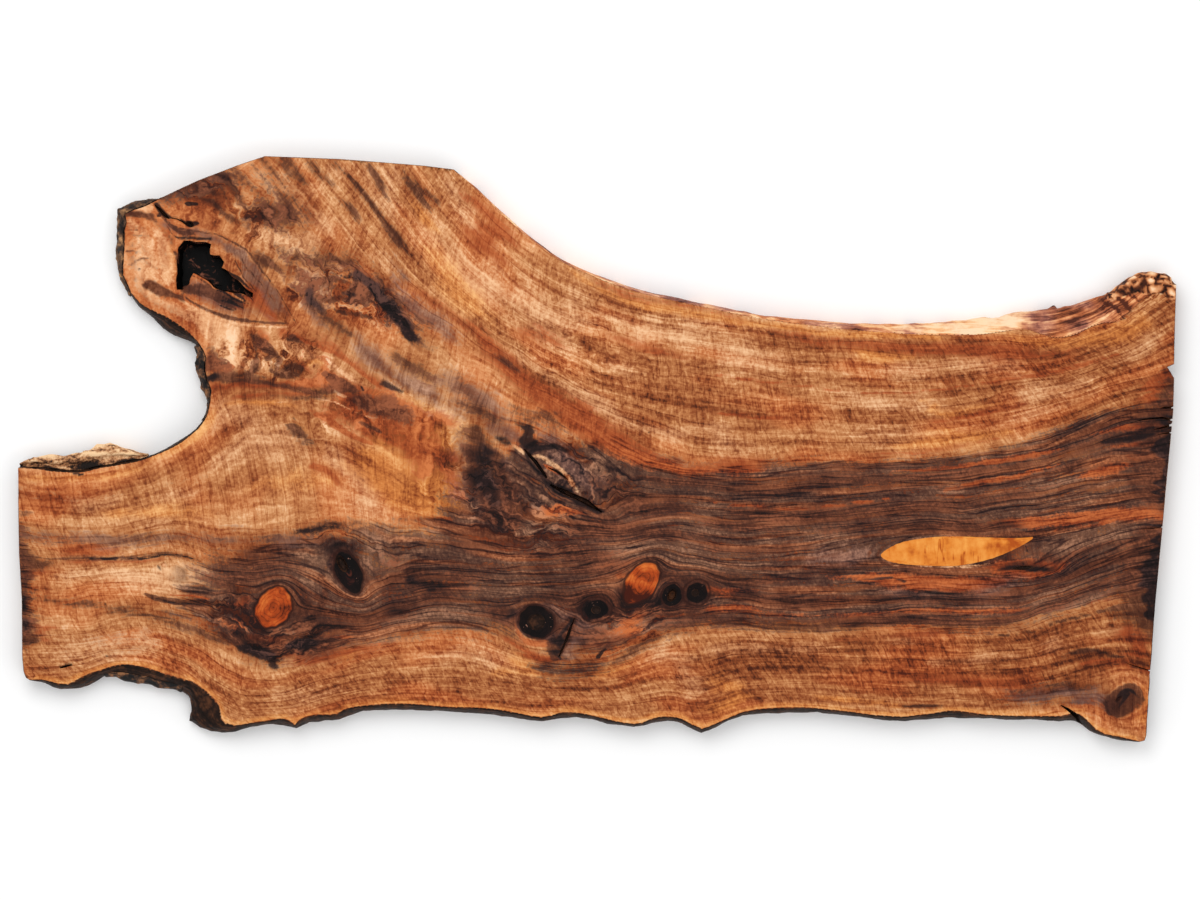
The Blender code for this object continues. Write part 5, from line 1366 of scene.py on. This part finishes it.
def make_slab():
    piece = refined(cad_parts["slab"], "slab_fine")
    mesh = piece.data
    co = coordinates(mesh)
    x, y, z = co.T / MM
    normals = np.empty(len(mesh.vertices) * 3, np.float32)
    mesh.vertices.foreach_get("normal", normals)
    normals = normals.reshape(-1, 3).astype(float)
    top = z > THICKNESS - 0.02
    under = z < 0.02

    field = GrainField(GRAIN)
    across = across_grain(field, x, y)
    along = along_grain(field, x, y)
    uneven = 0.15 * noise_at(co, 34.0, 21) + 0.09 * noise_at(co, 13.0, 22)
    round_knots = {name: knot_distance(x, y, KNOTS[name]) + uneven for name in ROUND_KNOTS}
    rings = np.minimum.reduce(list(round_knots.values()))
    step = 3.0
    slope_x = field.at(x + step, y) - field.at(x - step, y)
    slope_y = field.at(x, y + step) - field.at(x, y - step)
    size = np.maximum(np.hypot(slope_x, slope_y), 1e-6)
    grain = (slope_y / size, -slope_x / size)
    curl = painted(x, y, CURLS, grain)

    # Which wall each point belongs to
    right_end = x > 1148 + (y + 600) * 0.052 - 6.0
    left_end = x < -1186.0
    upper_cut = (y > 596 - (x + 700) * 0.055) | ((x < -690) & (x > -905) & (y > 600 + (x + 700) * 0.40))
    on_wall = ~top & ~under
    sawn = on_wall & (right_end | left_end | upper_cut)
    wane = on_wall & ~sawn & (x > -300) & (y > 180)
    pit = on_wall & (x > -885) & (x < -700) & (y > 318) & (y < 442)
    edge = kdtree.KDTree(int(np.count_nonzero(on_wall & (z > THICKNESS - 4.0))))
    for i in np.nonzero(on_wall & (z > THICKNESS - 4.0))[0]:
        sunken = y[i] > -450 and -180 < x[i] < -20 or y[i] > -545 and 1040 < x[i] < 1120
        if not sawn[i] and not sunken:
            edge.insert((x[i], y[i], 0.0), int(i))
    edge.balance()
    lower = (y < -380) & (x > -1170) & (x < 1120)
    rim = np.full(len(x), 60.0)
    for i in np.nonzero(top & lower)[0]:
        rim[i] = min(60.0, edge.find((x[i], y[i], 0.0))[2])

    stains = {}
    fray = frayed(co, across, along)
    for name, strokes in STAINS.items():
        soften = 1.8 if STRETCH[name] >= 2.0 else 1.3
        stains[name] = painted(x, y, strokes, grain, STRETCH[name], soften, fray)
    amber = painted(x, y, AMBER, grain)
    copper = np.clip(4.5 - 4.0 * np.minimum(round_knots["orange"], round_knots["copper"]), 0, 1)
    dark_knots = np.zeros(len(x))
    for name, (edge_at, strength) in DARK_KNOTS.items():
        dark_knots = np.maximum(dark_knots, strength * np.clip(edge_at - 4.6 * round_knots[name], 0, 1))
    for patch in (amber, copper, dark_knots):
        patch[under] = 0.0
    rings[under] = 3.0
    wall = (on_wall & ~sawn & ~wane & ~pit).astype(float)
    for dip_x, dip_y, reach in DIPS:
        wall[np.hypot(x - dip_x, y - dip_y) < reach] = 0.0
    store(mesh, "grain", (across, along, rings, curl))
    store(mesh, "stain_a", (stains["heart"], stains["dark"], stains["grey"], stains["rust"]))
    store(mesh, "stain_b", (stains["black"], stains["gold"], stains["pale"], stains["cream"]))
    store(mesh, "place", (rim, wall, sawn, wane))
    store(mesh, "knots", (amber, copper, dark_knots, pit))
    burl = painted(x, y, BURL, grain) * ((on_wall & ~right_end) | top)
    crack = np.ones(len(x))
    lump = np.zeros(len(x))
    for i in np.nonzero(burl > 0)[0]:
        pushed = Vector(co[i]) + noise.noise_vector(Vector(co[i]) * 45.0) * 0.011
        spread = noise.voronoi(Vector((pushed.x * 0.75, pushed.y, pushed.z)) * (1000.0 / BURL_LUMP))[0]
        crack[i] = min(1.0, (spread[1] - spread[0]) * 1.8)
        lump[i] = (0.55 - spread[0]) * burl[i]
    shaded = painted(x, y, SHADED, grain, 1.6) - 0.7 * painted(x, y, LIT, grain, 1.6)
    bands = np.zeros(len(x))
    drift = across + 5.0 * noise_at(co, 260.0, 15) + 2.0 * noise_at(co, 60.0, 16)
    for value, width, strength in BANDS:
        bands = np.maximum(bands, strength * np.exp(-((drift - value) / width) ** 2))
    store(mesh, "burl", (burl, crack, shaded, bands))

    # Relief: rough outer skin on the walls, slight waves on the sawn top
    rough = np.zeros(len(x))
    outer = np.nonzero(on_wall & ~pit)[0]
    rough[outer] = noise_at(co[outer], 22.0, 1) * 1.3 + noise_at(co[outer], 8.0, 2) * 0.6
    rough[sawn] *= 0.15
    rough[wane] *= 0.35
    rough += lump * BURL_DEPTH
    co[outer] += normals[outer] * (rough[outer] * MM)[:, None]
    inside_x = np.clip(co[:, 0], CAD_BOX[0][0], CAD_BOX[1][0])
    inside_y = np.clip(co[:, 1], CAD_BOX[0][1], CAD_BOX[1][1])
    co[:, 0], co[:, 1] = inside_x, inside_y
    co[:, 2] = np.clip(co[:, 2], 0.0, THICKNESS * MM)
    co[under, 2] = 0.0
    away = np.hypot((x - HOLLOW[0]) / HOLLOW_REACH[0], (y - HOLLOW[1]) / HOLLOW_REACH[1])
    for i in np.nonzero((away < 1.0) & ~under)[0]:
        push = noise.noise_vector(Vector((x[i], y[i], 300.0)) / RAG_SIZE) * (RAG_DEPTH * MM)
        co[i, :2] += np.array(push.xy) * (1.0 - away[i] ** 3)
    dip = np.zeros(len(x))
    dip -= 0.9 * stains["black"] + 0.35 * stains["dark"]
    dip -= 0.5 * dark_knots
    flat = np.nonzero(top)[0]
    dip[flat] += noise_at(co[flat], 60.0, 4) * 0.15 - 0.15
    dip -= 2.5 * burl * (1.0 - crack)
    co[top, 2] += dip[top] * MM
    mesh.vertices.foreach_set("co", co.astype(np.float32).ravel())
    mesh.materials.clear()
    mesh.materials.append(walnut_material())
    mesh.polygons.foreach_set("use_smooth", np.ones(len(mesh.polygons), bool))
    mesh.set_sharp_from_angle(angle=math.radians(48))
    mesh.update()
    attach(piece, "root")
    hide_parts("slab")
    return piece


def make_bark(node, size, depth, stops, run=1.0, shade_to_light_y=None):
    """A bark remnant with a finer, broken surface, its ridges stretched along x by run."""
    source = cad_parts[node]
    bm = bmesh.new()
    bm.from_mesh(source.data)
    bmesh.ops.remove_doubles(bm, verts=bm.verts, dist=2e-5)
    for _ in range(4):
        longer = [e for e in bm.edges if e.calc_length() > size * MM]
        if longer:
            bmesh.ops.subdivide_edges(bm, edges=longer, cuts=1, use_grid_fill=True)
            bmesh.ops.triangulate(bm, faces=[f for f in bm.faces if len(f.verts) > 3])
    bmesh.ops.smooth_vert(bm, verts=bm.verts, factor=0.4, use_axis_x=True, use_axis_y=True, use_axis_z=True)
    bmesh.ops.recalc_face_normals(bm, faces=bm.faces)
    mesh = bpy.data.meshes.new(node + "_fine")
    bm.to_mesh(mesh)
    bm.free()
    co = coordinates(mesh)
    normals = np.empty(len(mesh.vertices) * 3, np.float32)
    mesh.vertices.foreach_get("normal", normals)
    normals = normals.reshape(-1, 3).astype(float)
    drawn = co / np.array([run, 1.0, 1.0])
    height = 0.6 * noise_at(drawn, 16.0, 5) + 0.4 * noise_at(drawn, 6.0, 6)
    ridged = 1.0 - 2.0 * np.abs(noise_at(drawn, 24.0, 8))
    height = 0.6 * height + 0.4 * (ridged - 0.6)
    co += normals * ((height - 0.15) * depth * MM)[:, None]
    low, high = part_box(node)
    co = np.clip(co, np.array(low), np.array(high))
    mesh.vertices.foreach_set("co", co.astype(np.float32).ravel())
    attribute = mesh.attributes.new("height", "FLOAT", "POINT")
    attribute.data.foreach_set("value", np.clip(height * 0.8 + 0.5, 0, 1).astype(np.float32))
    mesh.polygons.foreach_set("use_smooth", np.ones(len(mesh.polygons), bool))
    mesh.materials.append(bark_material(node + "_bark", stops, run, shade_to_light_y))
    piece = bpy.data.objects.new(node + "_fine", mesh)
    bpy.context.scene.collection.objects.link(piece)
    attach(piece, "root")
    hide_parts(node)
    return piece


OCHRE = [(0.28, srgb(26, 16, 11)), (0.38, srgb(94, 58, 36)), (0.50, srgb(186, 130, 86)), (0.68, srgb(240, 200, 154))]
BLACK = [(0.30, srgb(9, 7, 7)), (0.46, srgb(32, 22, 18)), (0.58, srgb(80, 52, 35)), (0.74, srgb(140, 94, 60))]
BROWN = [(0.25, srgb(22, 15, 12)), (0.45, srgb(62, 42, 30)), (0.62, srgb(112, 78, 52)), (0.80, srgb(176, 130, 86))]


# Stage, light and camera
def make_stage():
    mesh = bpy.data.meshes.new("studio_floor")
    bm = bmesh.new()
    bmesh.ops.create_grid(bm, x_segments=1, y_segments=1, size=12.0)
    bm.to_mesh(mesh)
    bm.free()
    floor = bpy.data.objects.new("studio_floor", mesh)
    bpy.context.scene.collection.objects.link(floor)
    material = bpy.data.materials.new("floor_white")
    material.use_nodes = True
    shader = material.node_tree.nodes["Principled BSDF"]
    shader.inputs["Base Color"].default_value = srgb(250, 250, 250)
    shader.inputs["Roughness"].default_value = 0.9
    mesh.materials.append(material)


def make_light(name, place, target, size, power):
    data = bpy.data.lights.new(name, "AREA")
    data.shape = "DISK"
    data.size = size
    data.energy = power
    lamp = bpy.data.objects.new(name, data)
    lamp.location = place
    lamp.rotation_euler = (Vector(target) - Vector(place)).to_track_quat("-Z", "Y").to_euler()
    bpy.context.scene.collection.objects.link(lamp)


def make_camera():
    data = bpy.data.cameras.new("camera")
    data.lens = CAMERA_LENS
    data.sensor_width = 36.0
    data.clip_end = 50.0
    camera = bpy.data.objects.new("camera", data)
    away = Vector((0.0, -math.sin(CAMERA_TILT), math.cos(CAMERA_TILT)))
    camera.location = CAMERA_TARGET + away * CAMERA_DISTANCE
    camera.rotation_euler = (CAMERA_TILT, 0.0, 0.0)
    bpy.context.scene.collection.objects.link(camera)
    bpy.context.scene.camera = camera


def make_world():
    world = bpy.data.worlds.new("studio")
    world.use_nodes = True
    background = world.node_tree.nodes["Background"]
    background.inputs[0].default_value = (1.0, 1.0, 1.0, 1.0)
    background.inputs[1].default_value = 0.82
    bpy.context.scene.world = world


make_camera()
make_world()
make_stage()
make_light("key", (-1.0, 2.2, 4.6), (0.0, 0.0, 0.0), 3.2, 88.0)
make_light("fill", (1.8, -2.4, 4.2), (0.0, 0.0, 0.0), 3.0, 25.0)
make_slab()
# The arm's bark gets painted shade towards the wood and painted light towards its outer rim
make_bark("bark_arm", 4.0, 5.0, OCHRE, 2.6, -14.0)
make_bark("bark_crotch", 4.0, 4.5, BLACK)
make_bark("bark_stub", 4.0, 5.5, BROWN)
make_bark("bark_bay", 4.0, 2.5, BLACK)
bpy.context.scene.view_settings.view_transform = "Standard"

bpy.context.view_layer.update()
